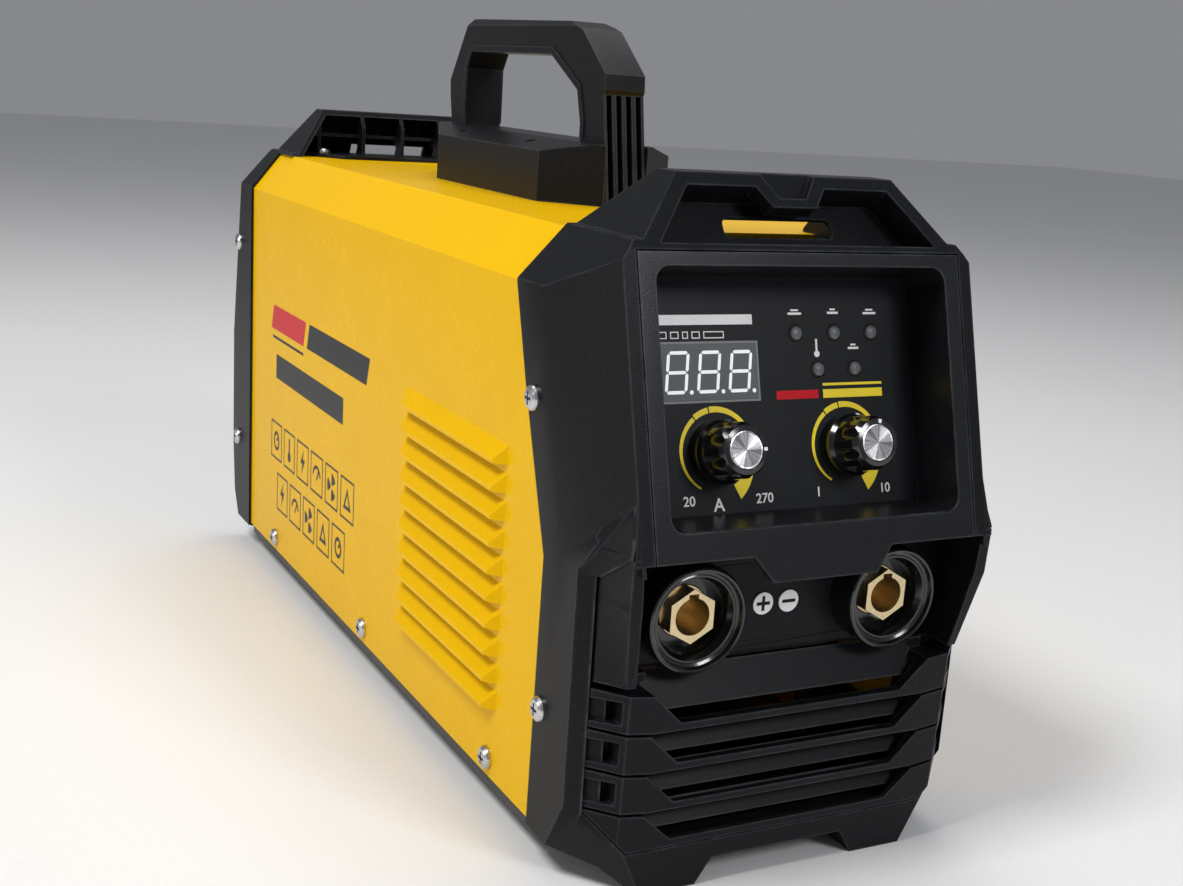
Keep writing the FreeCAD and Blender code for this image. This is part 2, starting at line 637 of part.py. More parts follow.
# ------------------------------------------------- knobs and potentiometers
for name, kx in (("current", S["knob_left"]), ("force", S["knob_right"])):
    at = (kx, S["knob_up"], 0)
    sk_r, bo_r, sh_r = S["knob_skirt_r"], S["knob_body_r"], S["pot_shaft_r"]
    knob = lathe(FACE, at, (0, 0, 1), (1, 0, 0), [
        (sh_r, -18.6), (8.2, -18.6), (8.2, -21.6), (sk_r, -21.6), (sk_r, -17.8), (bo_r + 0.4, -16.4),
        (bo_r, -6.2), (bo_r - 1.3, -4.4), (6.7, -4.0), (6.7, -4.8), (0, -4.8), (0, -6.0), (sh_r, -6.0)])
    flutes = []
    for i in range(8):
        a = math.radians(22.5 + 45 * i)
        rr = bo_r.v + 2.0
        flutes.append(rod(FACE, (kx.v + rr * math.sin(a), S["knob_up"].v + rr * math.cos(a), 0), (0, 0, 1), 3.0, -16.0, -3.0))
    node(name + "_knob", cut(knob, *flutes))
    node(name + "_knob_inlay", lathe(FACE, at, (0, 0, 1), (1, 0, 0),
         [(0, -4.8), (6.4, -4.8), (6.4, -4.15), (6.1, -3.95), (0, -3.95)]))
    node(name + "_pot_shaft", rod(FACE, at, (0, 0, 1), sh_r, -29.0, -6.0))
    node(name + "_pot_body", cut(
        fuse(rounded(FACE, (kx - 8.2, S["knob_up"] - 8.2, -31.9), (kx + 8.2, S["knob_up"] + 8.2, -24.3), 2.0),
             rod(FACE, at, (0, 0, 1), S["bush_r"], -26.0, -19.6)),
        rod(FACE, at, (0, 0, 1), S["bush_bore_r"], -29.6, -19.0)))
    nut = prism(FACE, "XY", [(x + kx.v, y + S["knob_up"].v) for x, y in hexagon(0, 0, 10.0)], -22.55, -20.6,
                holes=[(kx, S["knob_up"], S["bush_r"] + 0.05)])
    node(name + "_pot_nut", nut)

b = body("control_pcb", FACE)
pad(b, rect(-57, 6, 57, 88), -33.6, 1.6, holes=[(x, v, 1.6) for x in (-53, 53) for v in (10, 84)])
node("control_pcb_spacers", group(*[
    lathe(FACE, (x, v, 0), (0, 0, 1), (1, 0, 0), [(1.55, -32.0), (3.0, -32.0), (3.0, -24.25), (1.55, -24.25)])
    for x in (-53, 53) for v in (10, 84)]))

# --------------------------------------------------------------- socket panel
sx, sz = S["socket_x"], S["socket_z"]
panel = prism(WORLD, "XZ", both([(73.5, 78.0), (73.5, 118.2), (72.4, 121.3)]), 25.0, 28.0)
ceiling = prism(WORLD, "YZ", [(6.0, 123.6), (12.2, 123.6), (25.2, 119.9), (28.0, 119.9), (28.0, 121.8), (25.2, 121.8), (12.6, 125.4), (6.0, 125.4)], -63.9, 63.9)
floor = prism(WORLD, "YZ", [(25.5, 79.2), (28.0, 79.2), (28.0, 81.4), (25.5, 81.4)], -60, 60)
node("socket_panel", cut(fuse(panel, ceiling, floor),
                         rod(WORLD, (sx, 0, sz), (0, 1, 0), 14.2, 15, 40), rod(WORLD, (-sx, 0, sz), (0, 1, 0), 14.2, 15, 40)))
for name, x in (("positive", -sx), ("negative", sx)):
    at = (x, 0, sz)
    rim = S["socket_rim_r"]
    node(name + "_socket_housing", lathe(WORLD, at, (0, 1, 0), (1, 0, 0), [
        (rim, 14.4), (rim - 0.4, 13.2), (rim - 1.0, 12.8), (rim - 1.7, 13.0), (16.5, 14.6), (15.6, 15.1), (15.2, 14.9), (14.6, 15.0),
        (13.3, 17.4), (12.9, 18.6), (12.4, 24.2),
        (9.4, 24.2), (9.4, 46.0), (14.0, 46.0), (14.0, 25.0), (rim, 25.0)]))
    hexpart = prism(WORLD, "XZ", [(hx + x.v, hz + sz.v) for hx, hz in hexagon(0, 0, S["contact_flats"].v, 30)], 17.3, 24.15)
    barrel = rod(WORLD, at, (0, 1, 0), 9.0, 24.0, 50.0)
    stud = rod(WORLD, at, (0, 1, 0), 4.0, 49.0, 66.0)
    bore = rod(WORLD, at, (0, 1, 0), S["socket_bore_r"], 17.3, S["socket_bore_len"] + 17.3)
    key = box(WORLD, (x - 1.9, 17.0, sz + 2.0), (x + 1.9, 36.0, sz + 7.9))
    node(name + "_socket_contact", cut(fuse(hexpart, barrel, stud), bore, key))
    node(name + "_socket_nut", prism(WORLD, "XZ", [(hx + x.v, hz + sz.v) for hx, hz in hexagon(0, 0, 34.0)], 28.05, 34.0,
                                     holes=[(x, sz, 14.1)]))
node("polarity_discs", group(*[rod(WORLD, (x, 0, 96.1), (0, 1, 0), 4.0, 24.4, 24.98) for x in (-7.3, 3.2)]))
bars = []
for x in (-sx, sx):
    bars.append(cut(fuse(box(WORLD, (x - 8.0, 52.0, 36.0), (x + 8.0, 55.0, 106.0)), box(WORLD, (x - 8.0, 52.0, 36.0), (x + 8.0, 78.0, 39.0))),
                    rod(WORLD, (x, 0, sz), (0, 1, 0), 4.2, 40, 70)))
node("output_busbars", group(*bars))

# -------------------------------------------------------------- intake grille
# Four stacked fins. Each has a low lip across the middle and full-height end
# blocks that wrap round the corner; inclined plates close the view inside.
fins = []
for k in range(3):
    dz = -14.5 * k
    fins.append(prism(WORLD, "XZ", both([(54.9, 60.2 + dz), (65.4, 61.5 + dz), (74.9, 62.1 + dz), (74.9, 75.5 + dz),
                                         (65.4, 74.9 + dz), (56.0, 73.7 + dz), (45.0, 62.9 + dz)]), 0, 26))
fins.append(prism(WORLD, "XZ", both([(61.6, 17.0), (74.9, 31.5), (74.9, 32.0), (65.4, 31.4), (56.0, 30.1), (45.0, 19.9)]), 0, 26))
wrap = prism(WORLD, "XY", both([(65.3, 12.2), (74.9, 21.6), (74.9, 27.0)]), 16.5, 77.5, -0.0435)
grille = common(fuse(*fins), wrap)
grille = cut(grille, box(WORLD, (-54.0, 14.0, 16), (54.0, 40, 80)))
plates = [prism(WORLD, "YZ", [(y0, z0), (y1, z1), (y1 + 1.8, z1 - 0.6), (y0 + 1.8, z0 - 0.6)], -56.0, 56.0)
          for (y0, z0), (y1, z1) in (((23.1, 78.1), (15.8, 66.0)), ((21.8, 58.8), (16.6, 50.4)),
                                     ((22.0, 44.4), (17.0, 36.0)), ((22.2, 30.0), (17.6, 22.2)))]
cheeks = [box(WORLD, (54.0, 21.0, 17.0), (61.0, 26.0, 77.85)), box(WORLD, (-61.0, 21.0, 17.0), (-54.0, 26.0, 77.85)),
          box(WORLD, (60.0, 22.6, 31.9), (74.9, 26.0, 77.85)), box(WORLD, (-74.9, 22.6, 31.9), (-60.0, 26.0, 77.85))]
grille = fuse(grille, *plates, *cheeks)
pockets = []
for k in range(3):
    z0 = 64.4 - 14.5 * k
    deep = prism(WORLD, "XY", [(66.9, 5.0), (66.9, 20.5), (70.0, 20.5), (70.0, 5.0)], z0, z0 + 8.0)
    shallow = prism(WORLD, "XY", [(67.0, 5.0), (67.0, 14.6), (75.2, 22.3), (75.2, 5.0)], z0, z0 + 8.0)
    pockets += [deep, mirror(deep), shallow, mirror(shallow)]
node("intake_grille", cut(grille, *pockets))

# ----------------------------------------------------------------- rear shell
rt = S["rear_hood_top"]
rear_outline = both([(27, 9.5), (S["foot_inner"], 0), (S["foot_outer"], 0), (66, 8), (S["frame_half"], S["frame_low"]),
                     (S["frame_half"], S["frame_shoulder"]), (S["frame_top_half"], S["frame_top"]),
                     (S["hood_low_half"], S["frame_top"]), (S["hood_top_half"], rt)])
rear_view = [(S["cover_back"], 0), (451, 0), (467, 25), (473.8, 74), (473.8, 100), (453.9, 216.8), (441, rt), (430, rt),
             (412, 218.4), (S["cover_back"], 218.4)]
rsolid = common(prism(WORLD, "YZ", rear_view, -85, 85), prism(WORLD, "XZ", rear_outline, 380, 480))
rsolid = common(rsolid, prism(WORLD, "XY", both([(80.2, 380), (80.2, 470), (77.5, 476)]), -1, 250))
inside = both([(60, 11.5), (77.0, 15.0), (77.0, 199.5), (64.9, 214.4)])
rshell = cut(rsolid,
             prism(WORLD, "XZ", both([(78.4, 12.9), (78.4, 199.45), (63.6, 218.35)]), 380, 445.6),
             prism(WORLD, "XZ", inside, 440, 450.0),
             prism(WORLD, "XZ", inside, 453.0, 490.0),
             common(prism(WORLD, "YZ", [(380, 218.3), (451.0, 218.3), (438.9, rt - 2.6), (380, rt - 2.6)], -70, 70),
                    prism(WORLD, "XZ", both([(59.0, 218.3), (41.9, rt - 2.6)]), 380, 480)))
lattice = [common(box(WORLD, (x - 0.9, 432 if abs(x) == 44 else 424, 218.3), (x + 0.9, 452, 245)), rsolid) for x in (-44, -22, 0, 22, 44)]
lattice.append(common(box(WORLD, (-52, 432, 228.6), (52, 450, 230.2)), rsolid))
SLOPE_R = Placement(Vector(0, 453.9 - S["back_offset"].v, 216.8),
                    Rotation(X * -1, Vector(0, -0.4486, 0.8937), Vector(0, 0.8937, 0.4486), "XYZ"))
lattice = [cut(rib, box(SLOPE_R, (-23.0, 1.5, -16.0), (23.0, 16.5, -1.5))) for rib in lattice]
roof = box(WORLD, (-60, 437.0, 214.2), (60, 451.5, 216.8))
tongue = prism(WORLD, "XY", both([(38, 407.0), (61.5, 436.0), (61.5, 440.0)]), 218.4, 220.0)
REAR_FLANGE = [(457.0, 168.6), (458.0, 58.4)]
bosses = [rod(WORLD, (0, y, z), (1, 0, 0), 4.2, a, b) for y, z in REAR_FLANGE for a, b in ((70.0, 77.6), (-77.6, -70.0))]
rshell = fuse(rshell, *lattice, roof, tongue, *bosses)
fx = 52.5
fan_holes = [rod(WORLD, (x, 0, S["fan_z"] + z), (0, 1, 0), 2.3, 440, 460) for x in (-fx, fx) for z in (-fx, fx)]
sw_x, sw_z = S["switch_x"], S["switch_z"]
gl_x, gl_z = S["gland_x"], S["gland_z"]
rshell = cut(rshell,
             box(SLOPE_R, (-21.2, 2.8, -8), (21.2, 9.6, 4)),
             *[rod(WORLD, (x, y, 0), (0, 0, 1), 1.9, 205, 225) for x, y in TOP_SCREWS],
             rod(WORLD, (0, 0, S["fan_z"]), (0, 1, 0), S["fan_hole_r"], 445, 458),
             box(WORLD, (sw_x - 11.0, 445, sw_z - 16.0), (sw_x + 11.0, 458, sw_z + 16.0)),
             rod(WORLD, (gl_x, 0, gl_z), (0, 1, 0), 10.2, 445, 458),
             rod(WORLD, (60.0, 0, 150.0), (0, 1, 0), 3.2, 445, 458),
             *fan_holes,
             *[rod(WORLD, (0, y, z), (1, 0, 0), 1.75, a, b) for y, z in REAR_FLANGE for a, b in ((70.6, 85), (-85, -70.6))])
node("rear_shell", rshell)

# ------------------------------------------------------------------------ fan
fz = S["fan_z"]
fs = S["fan_side"] / 2
frame = cut(rounded(WORLD, (-fs, 424.6, fz - fs), (fs, 449.6, fz + fs), 6.0, 1),
            rod(WORLD, (0, 0, fz), (0, 1, 0), S["fan_hole_r"], 420, 455))
struts = [box(WORLD, (-2.0, 424.6, fz + 16.0), (2.0, 427.6, fz + 58.5)), box(WORLD, (-2.0, 424.6, fz - 58.5), (2.0, 427.6, fz - 16.0)),
          box(WORLD, (16.0, 424.6, fz - 2.0), (58.5, 427.6, fz + 2.0)), box(WORLD, (-58.5, 424.6, fz - 2.0), (-16.0, 427.6, fz + 2.0))]
motor = rod(WORLD, (0, 0, fz), (0, 1, 0), 19.0, 424.6, 427.6)
pin = rod(WORLD, (0, 0, fz), (0, 1, 0), 2.0, 427.0, 440.0)
node("fan_frame", cut(fuse(frame, *struts, motor, pin),
                      *[rod(WORLD, (x, 0, fz + z), (0, 1, 0), 2.2, 420, 455) for x in (-fx, fx) for z in (-fx, fx)]))
hub = lathe(WORLD, (0, 0, fz), (0, 1, 0), (1, 0, 0), [(2.05, 428.4), (20.0, 428.4), (20.0, 446.2), (19.0, 447.2), (0, 447.2), (0, 440.8), (2.05, 440.8)])
blades = []
for i in range(7):
    a = 2 * math.pi * i / 7
    fr = Placement(Vector(0, 438.0 - S["back_offset"].v, fz.v), Rotation(Y, math.degrees(a)))
    blades.append(loft(fr, "XY", [
        (18.5, [(-5.6, 6.6), (-6.8, 5.6), (4.8, -7.8), (6.0, -6.8)]),
        (36.0, [(-9.4, 6.2), (-10.4, 5.2), (8.6, -6.8), (9.6, -5.8)]),
        (55.0, [(-14.6, 5.0), (-15.2, 3.8), (11.4, -5.8), (12.2, -4.8)])], False))
tips = rod(WORLD, (0, 0, fz), (0, 1, 0), S["fan_blade_r"], 428.4, 448.0)
node("fan_rotor", fuse(hub, common(fuse(*blades), tips)))
rings = []
for r in (16.0, 28.0, 40.0, 52.0):
    t = doc.addObject("Part::Torus", uid("Ring"))
    t.Radius1 = r
    t.Radius2 = 1.0
    t.Placement = WORLD * Placement(Vector(0, 455.4, fz.v), Rotation(Z, Y))
    rings.append(t)
spokes = []
for sx_, sz_ in ((1, 1), (1, -1), (-1, 1), (-1, -1)):
    d = Vector(sx_, 0, sz_)
    d.normalize()
    spokes.append(rod(WORLD, (0, 455.4, fz), tuple(d), 0.95, 15.5, 71.0))
    spokes.append(cut(rod(WORLD, (sx_ * fx, 0, fz.v + sz_ * fx), (0, 1, 0), 4.4, 453.02, 456.6), rod(WORLD, (sx_ * fx, 0, fz.v + sz_ * fx), (0, 1, 0), 2.3, 450, 458)))
node("fan_guard", cut(fuse(*rings, *spokes), *[rod(WORLD, (x, 0, fz + z), (0, 1, 0), 2.25, 450, 460) for x in (-fx, fx) for z in (-fx, fx)]))
node("fan_screws", group(*[pan_screw(WORLD, (x, 456.65, fz + z), (0, 1, 0), (1, 0, 0), 3.8, 2.0, 30.0)
                           for x in (-fx, fx) for z in (-fx, fx)]))

# --------------------------------------------------------------- power switch
hold = fuse(rounded(WORLD, (sw_x - 13.0, 453.02, sw_z - 18.0), (sw_x + 13.0, 455.2, sw_z + 18.0), 2.0, 1),
            box(WORLD, (sw_x - 10.8, 431.0, sw_z - 15.8), (sw_x + 10.8, 453.5, sw_z + 15.8)))
tabs = [box(WORLD, (sw_x - 7.0, 424.0, sw_z + z - 0.4), (sw_x - 1.0, 431.5, sw_z + z + 0.4)) for z in (-9, 0, 9)]
node("power_switch_housing", cut(fuse(hold, *tabs),
     box(WORLD, (sw_x - 9.0, 438.0, sw_z - 14.5), (sw_x + 9.0, 460.0, sw_z + 14.5)),
     rod(WORLD, (sw_x, 449.0, sw_z), (1, 0, 0), 1.55, -10.4, 10.4)))
ROCK = Placement(Vector(0, 449.0 - S["back_offset"].v, sw_z.v), Rotation(X, 9.0))
rocker = prism(ROCK, "YZ", [(-3.5, -5), (2.4, -13.2), (7.4, -13.2), (6.2, -7), (5.6, 0), (6.2, 7), (7.4, 13.2), (2.4, 13.2), (-3.5, 5)],
               sw_x - 8.6, sw_x + 8.6)
node("power_switch_rocker", fuse(rocker, rod(WORLD, (sw_x, 449.0, sw_z), (1, 0, 0), 1.5, -10.0, 10.0)))

# ---------------------------------------------------------------- cable gland
g = (gl_x, 0, gl_z)
node("cable_gland_body", cut(
    fuse(prism(WORLD, "XZ", [(x + gl_x.v, z + gl_z.v) for x, z in hexagon(0, 0, 24.0)], 453.02, 459.0),
         rod(WORLD, g, (0, 1, 0), 9.9, 440.0, 453.5), rod(WORLD, g, (0, 1, 0), 8.8, 458.0, 463.0)),
    rod(WORLD, g, (0, 1, 0), S["gland_bore_r"], 430, 470)))
node("cable_gland_cap", lathe(WORLD, g, (0, 1, 0), (1, 0, 0), [
    (8.9, 459.1), (11.6, 459.1), (11.6, 467.0), (10.2, 470.6), (7.6, 472.6), (6.2, 472.6), (5.8, 468.0), (8.9, 463.4)]))
node("cable_gland_locknut", prism(WORLD, "XZ", [(x + gl_x.v, z + gl_z.v) for x, z in hexagon(0, 0, 26.0)], 444.4, 449.95,
                                  holes=[(gl_x, gl_z, 10.0)]))
node("earth_bolt", fuse(prism(WORLD, "XZ", [(x + 60.0, z + 150.0) for x, z in hexagon(0, 0, 10.0)], 453.02, 457.0),
                        rod(WORLD, (60.0, 0, 150.0), (0, 1, 0), 3.0, 438.0, 454.0)))

# --------------------------------------------------------------------- handle
hh, hb = S["handle_half"], S["handle_block_half"]
block = common(prism(WORLD, "XY", both([(9.2, 160.0), (hb, 180.0), (hb, 292.0), (12.0, 338.0)]), 218.25, 244.0),
               prism(WORLD, "XZ", both([(hb, 218.0), (hb, 238.5), (13.0, 242.6)]), 150, 345))
HOLES = [rod(WORLD, (x, y, 0), (0, 0, 1), 2.7, 210, 250) for x, y in HANDLE_BOLTS]
node("handle_base", cut(block, box(WORLD, (-9.2, 150, 210), (9.2, 186.0, 250)), *HOLES[2:], rod(WORLD, (0, 320.0, 0), (0, 0, 1), 2.7, 210, 250)))
arch = prism(WORLD, "YZ", [
    (158.5, 218.3), (166.8, 262.0), (165.8, 264.0), (166.4, 270.0), (189.0, 287.0), (202.0, 290.4), (302.0, 291.6),
    (311.0, 291.6), (333.0, 263.0), (332.0, 255.0), (329.0, 242.65), (311.5, 242.65), (311.5, 269.0), (306.0, 276.7),
    (217.0, 276.7), (190.0, 263.0), (185.6, 250.0), (185.6, 218.3)], -hh, hh)
arch = common(arch, prism(WORLD, "XZ", both([(hh, 218.0), (hh, 288.6), (hh - 2.8, 291.8)]), 150, 345))
grooves = [box(WORLD, (x - 1.2, 150.0, 210.0), (x + 1.2, 171.2, 261.8)) for x in (-6.6, -2.2, 2.2, 6.6)]
shank = [rod(WORLD, (0, 171.0, 0), (0, 0, 1), 2.7, 210, 232), rod(WORLD, (0, 320.0, 0), (0, 0, 1), 2.7, 235, 256)]
node("handle_grip", cut(arch, *grooves, *shank))
bolts = []
for i, (x, y) in enumerate(HANDLE_BOLTS):
    top = 230.0 if i == 0 else 254.0 if i == 1 else 236.0
    bolts.append(fuse(rod(WORLD, (x, y, 0), (0, 0, 1), 2.5, 214.0, top),
                      prism(WORLD, "XY", [(hx + x, hy + y) for hx, hy in hexagon(0, 0, 8.0)], 213.4, 216.9)))
node("handle_bolts", group(*bolts))

# ----------------------------------------------------------------- case screws
ch, cs = S["screw_head_r"], S["screw_shank_r"]
node("cover_side_screws", group(*[pan_screw(WORLD, (s * 78.32, y, z), (s, 0, 0), (0, 1, 0), ch, cs, 7.5)
                                  for s in (1, -1) for y, z in SIDE_SCREWS]))
node("front_flange_screws", group(*[pan_screw(WORLD, (s * 79.82, y, z), (s, 0, 0), (0, 1, 0), ch, cs, 7.5)
                                    for s in (1, -1) for y, z in FRONT_FLANGE]))
node("rear_flange_screws", group(*[pan_screw(WORLD, (s * 79.82, y, z), (s, 0, 0), (0, 1, 0), ch, cs, 8.5)
                                   for s in (1, -1) for y, z in REAR_FLANGE]))
node("cover_top_screws", group(*[pan_screw(WORLD, (x, y, 220.02), (0, 0, 1), (1, 0, 0), 4.2, cs, 9.0) for x, y in TOP_SCREWS]))

# ------------------------------------------------------------ power electronics
b = body("power_pcb", WORLD)
pad(b, rect(-68, 82, 68, 400), 26.0, 1.6, holes=[(x, y, 1.6) for x, y in STANDOFFS])
node("pcb_standoffs", group(*[fuse(
    prism(WORLD, "XY", [(hx + x, hy + y) for hx, hy in hexagon(0, 0, 7.0)], 9.52, 25.98),
    rod(WORLD, (x, y, 0), (0, 0, 1), 1.45, 8.2, 30.0)) for x, y in STANDOFFS]))
for name, x0 in (("heatsink_left", -66.0), ("heatsink_right", 16.0)):
    b = body(name, WORLD)
    pad(b, rect(x0, 130, x0 + 50.0, 320), 35.6, 44.0)
    sk = body_sketch(b, "XY_Plane", 79.6)
    draw(sk, rect(x0 + 2.5, 128, x0 + 5.5, 322))
    doc.recompute()
    before = b.Shape.Volume
    p = b.newObject("PartDesign::Pocket", uid("Gap"))
    p.Profile = sk
    p.Length = 38.0
    doc.recompute()
    pat = b.newObject("PartDesign::LinearPattern", uid("Gaps"))
    pat.Originals = [p]
    pat.Direction = (sk, ["H_Axis"])
    pat.Length = 42.0
    pat.Occurrences = 9
    b.Tip = pat
    doc.recompute()
    if b.Shape.Volume > before * 0.8:
        raise RuntimeError("heatsink gaps missing")
node("igbt_modules", group(*[fuse(box(WORLD, (x - 8, y - 2.5, 30.5), (x + 8, y + 18, 35.5)),
                                  *[box(WORLD, (x + dx - 0.6, y + 17, 27.8), (x + dx + 0.6, y + 19.6, 33.0)) for dx in (-5.4, 0, 5.4)])
                             for x in (-41, 41) for y in (150, 195, 240, 285)]))
core = fuse(box(WORLD, (6, 336, 27.8), (66, 350, 88)), box(WORLD, (6, 378, 27.8), (66, 392, 88)),
            box(WORLD, (6, 349, 27.8), (66, 379, 40)), box(WORLD, (6, 349, 76), (66, 379, 88)))
coil = rod(WORLD, (36, 364, 0), (0, 0, 1), 13.8, 39.0, 77.0)
node("main_transformer", fuse(core, coil))
torus = doc.addObject("Part::Torus", uid("Choke"))
torus.Radius1 = 21.0
torus.Radius2 = 10.0
torus.Placement = WORLD * Placement(Vector(0, 104.0, 60.0), Rotation(Z, Y))
choke_foot = box(WORLD, (-14, 96, 27.8), (14, 112, 40.0))
node("output_choke", fuse(torus, choke_foot))
node("bus_capacitors", group(*[lathe(WORLD, (x, y, 0), (0, 0, 1), (1, 0, 0),
     [(0, 27.8), (15, 27.8), (15, 76.0), (14, 77.0), (0, 77.0)]) for x, y in ((-50, 352), (-17, 352), (-50, 384), (-17, 384))]))
node("rectifier_bridge", box(WORLD, (-14, 150, 30.0), (14, 178, 38.0)))

# ------------------------------------------------------- check, then write out
doc.recompute()
bad = []
for o in doc.Objects:
    if "Invalid" in o.State or "Error" in o.State:
        bad.append("%s (%s): %s" % (o.Name, o.Label, o.State))
for o in NODES:
    if o.Shape.isNull() or not o.Shape.isValid():
        bad.append("shape of " + o.Label)
    elif not o.Shape.Solids:
        bad.append("no solid in " + o.Label)
if bad:
    raise RuntimeError("; ".join(bad))
labels = [o.Label for o in NODES]
if len(set(labels)) != len(labels):
    raise RuntimeError("labels repeat")
os.makedirs("parts", exist_ok=True)
total = FreeCAD.BoundBox()
for o in NODES:
    o.Shape.exportStep(os.path.join("parts", o.Label + ".step"))
    total.add(o.Shape.BoundBox)
    print("%-24s solids %d  volume %.0f" % (o.Label, len(o.Shape.Solids), o.Shape.Volume))
print("nodes %d  box %.2f..%.2f  %.2f..%.2f  %.2f..%.2f" % (
    len(NODES), total.XMin, total.XMax, total.YMin, total.YMax, total.ZMin, total.ZMax))
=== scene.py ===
import json
import math
import random

import bmesh
import bpy
from mathutils import Matrix, Vector
from mathutils.geometry import tessellate_polygon


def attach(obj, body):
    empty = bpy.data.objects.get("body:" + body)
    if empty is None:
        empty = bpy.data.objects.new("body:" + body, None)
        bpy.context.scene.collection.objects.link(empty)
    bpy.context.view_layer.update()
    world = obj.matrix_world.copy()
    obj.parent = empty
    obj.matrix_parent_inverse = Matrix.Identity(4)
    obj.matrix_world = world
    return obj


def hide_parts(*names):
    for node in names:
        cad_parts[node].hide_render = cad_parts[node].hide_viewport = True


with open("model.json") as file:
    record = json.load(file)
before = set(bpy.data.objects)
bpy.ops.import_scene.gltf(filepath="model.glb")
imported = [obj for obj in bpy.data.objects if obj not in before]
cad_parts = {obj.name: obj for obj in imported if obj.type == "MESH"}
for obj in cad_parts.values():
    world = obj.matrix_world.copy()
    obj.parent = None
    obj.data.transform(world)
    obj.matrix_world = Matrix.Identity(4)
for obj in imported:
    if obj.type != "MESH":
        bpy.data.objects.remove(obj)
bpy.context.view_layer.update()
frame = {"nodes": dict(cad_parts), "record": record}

scene = bpy.context.scene
scene.view_settings.view_transform = "Standard"
scene.view_settings.look = "None"
nodes = frame["nodes"]
rnd = random.Random(7)

# ------------------------------------------------------------------ frames
# Lengths below are millimetres in the row frame; mm() turns them into metres.
UP = Vector((0, 0.27709, 0.96084))
OUT = Vector((0, -0.96084, 0.27709))
FACE_AT = Vector((0, -233.37, 126.11))


def mm(x, y, z):
    return Vector((x, y, z)) / 1000


def face(x, v, n=0.0):
    """A point on the leaning control face, in metres."""
    return (FACE_AT + Vector((x, 0, 0)) + UP * v + OUT * n) / 1000


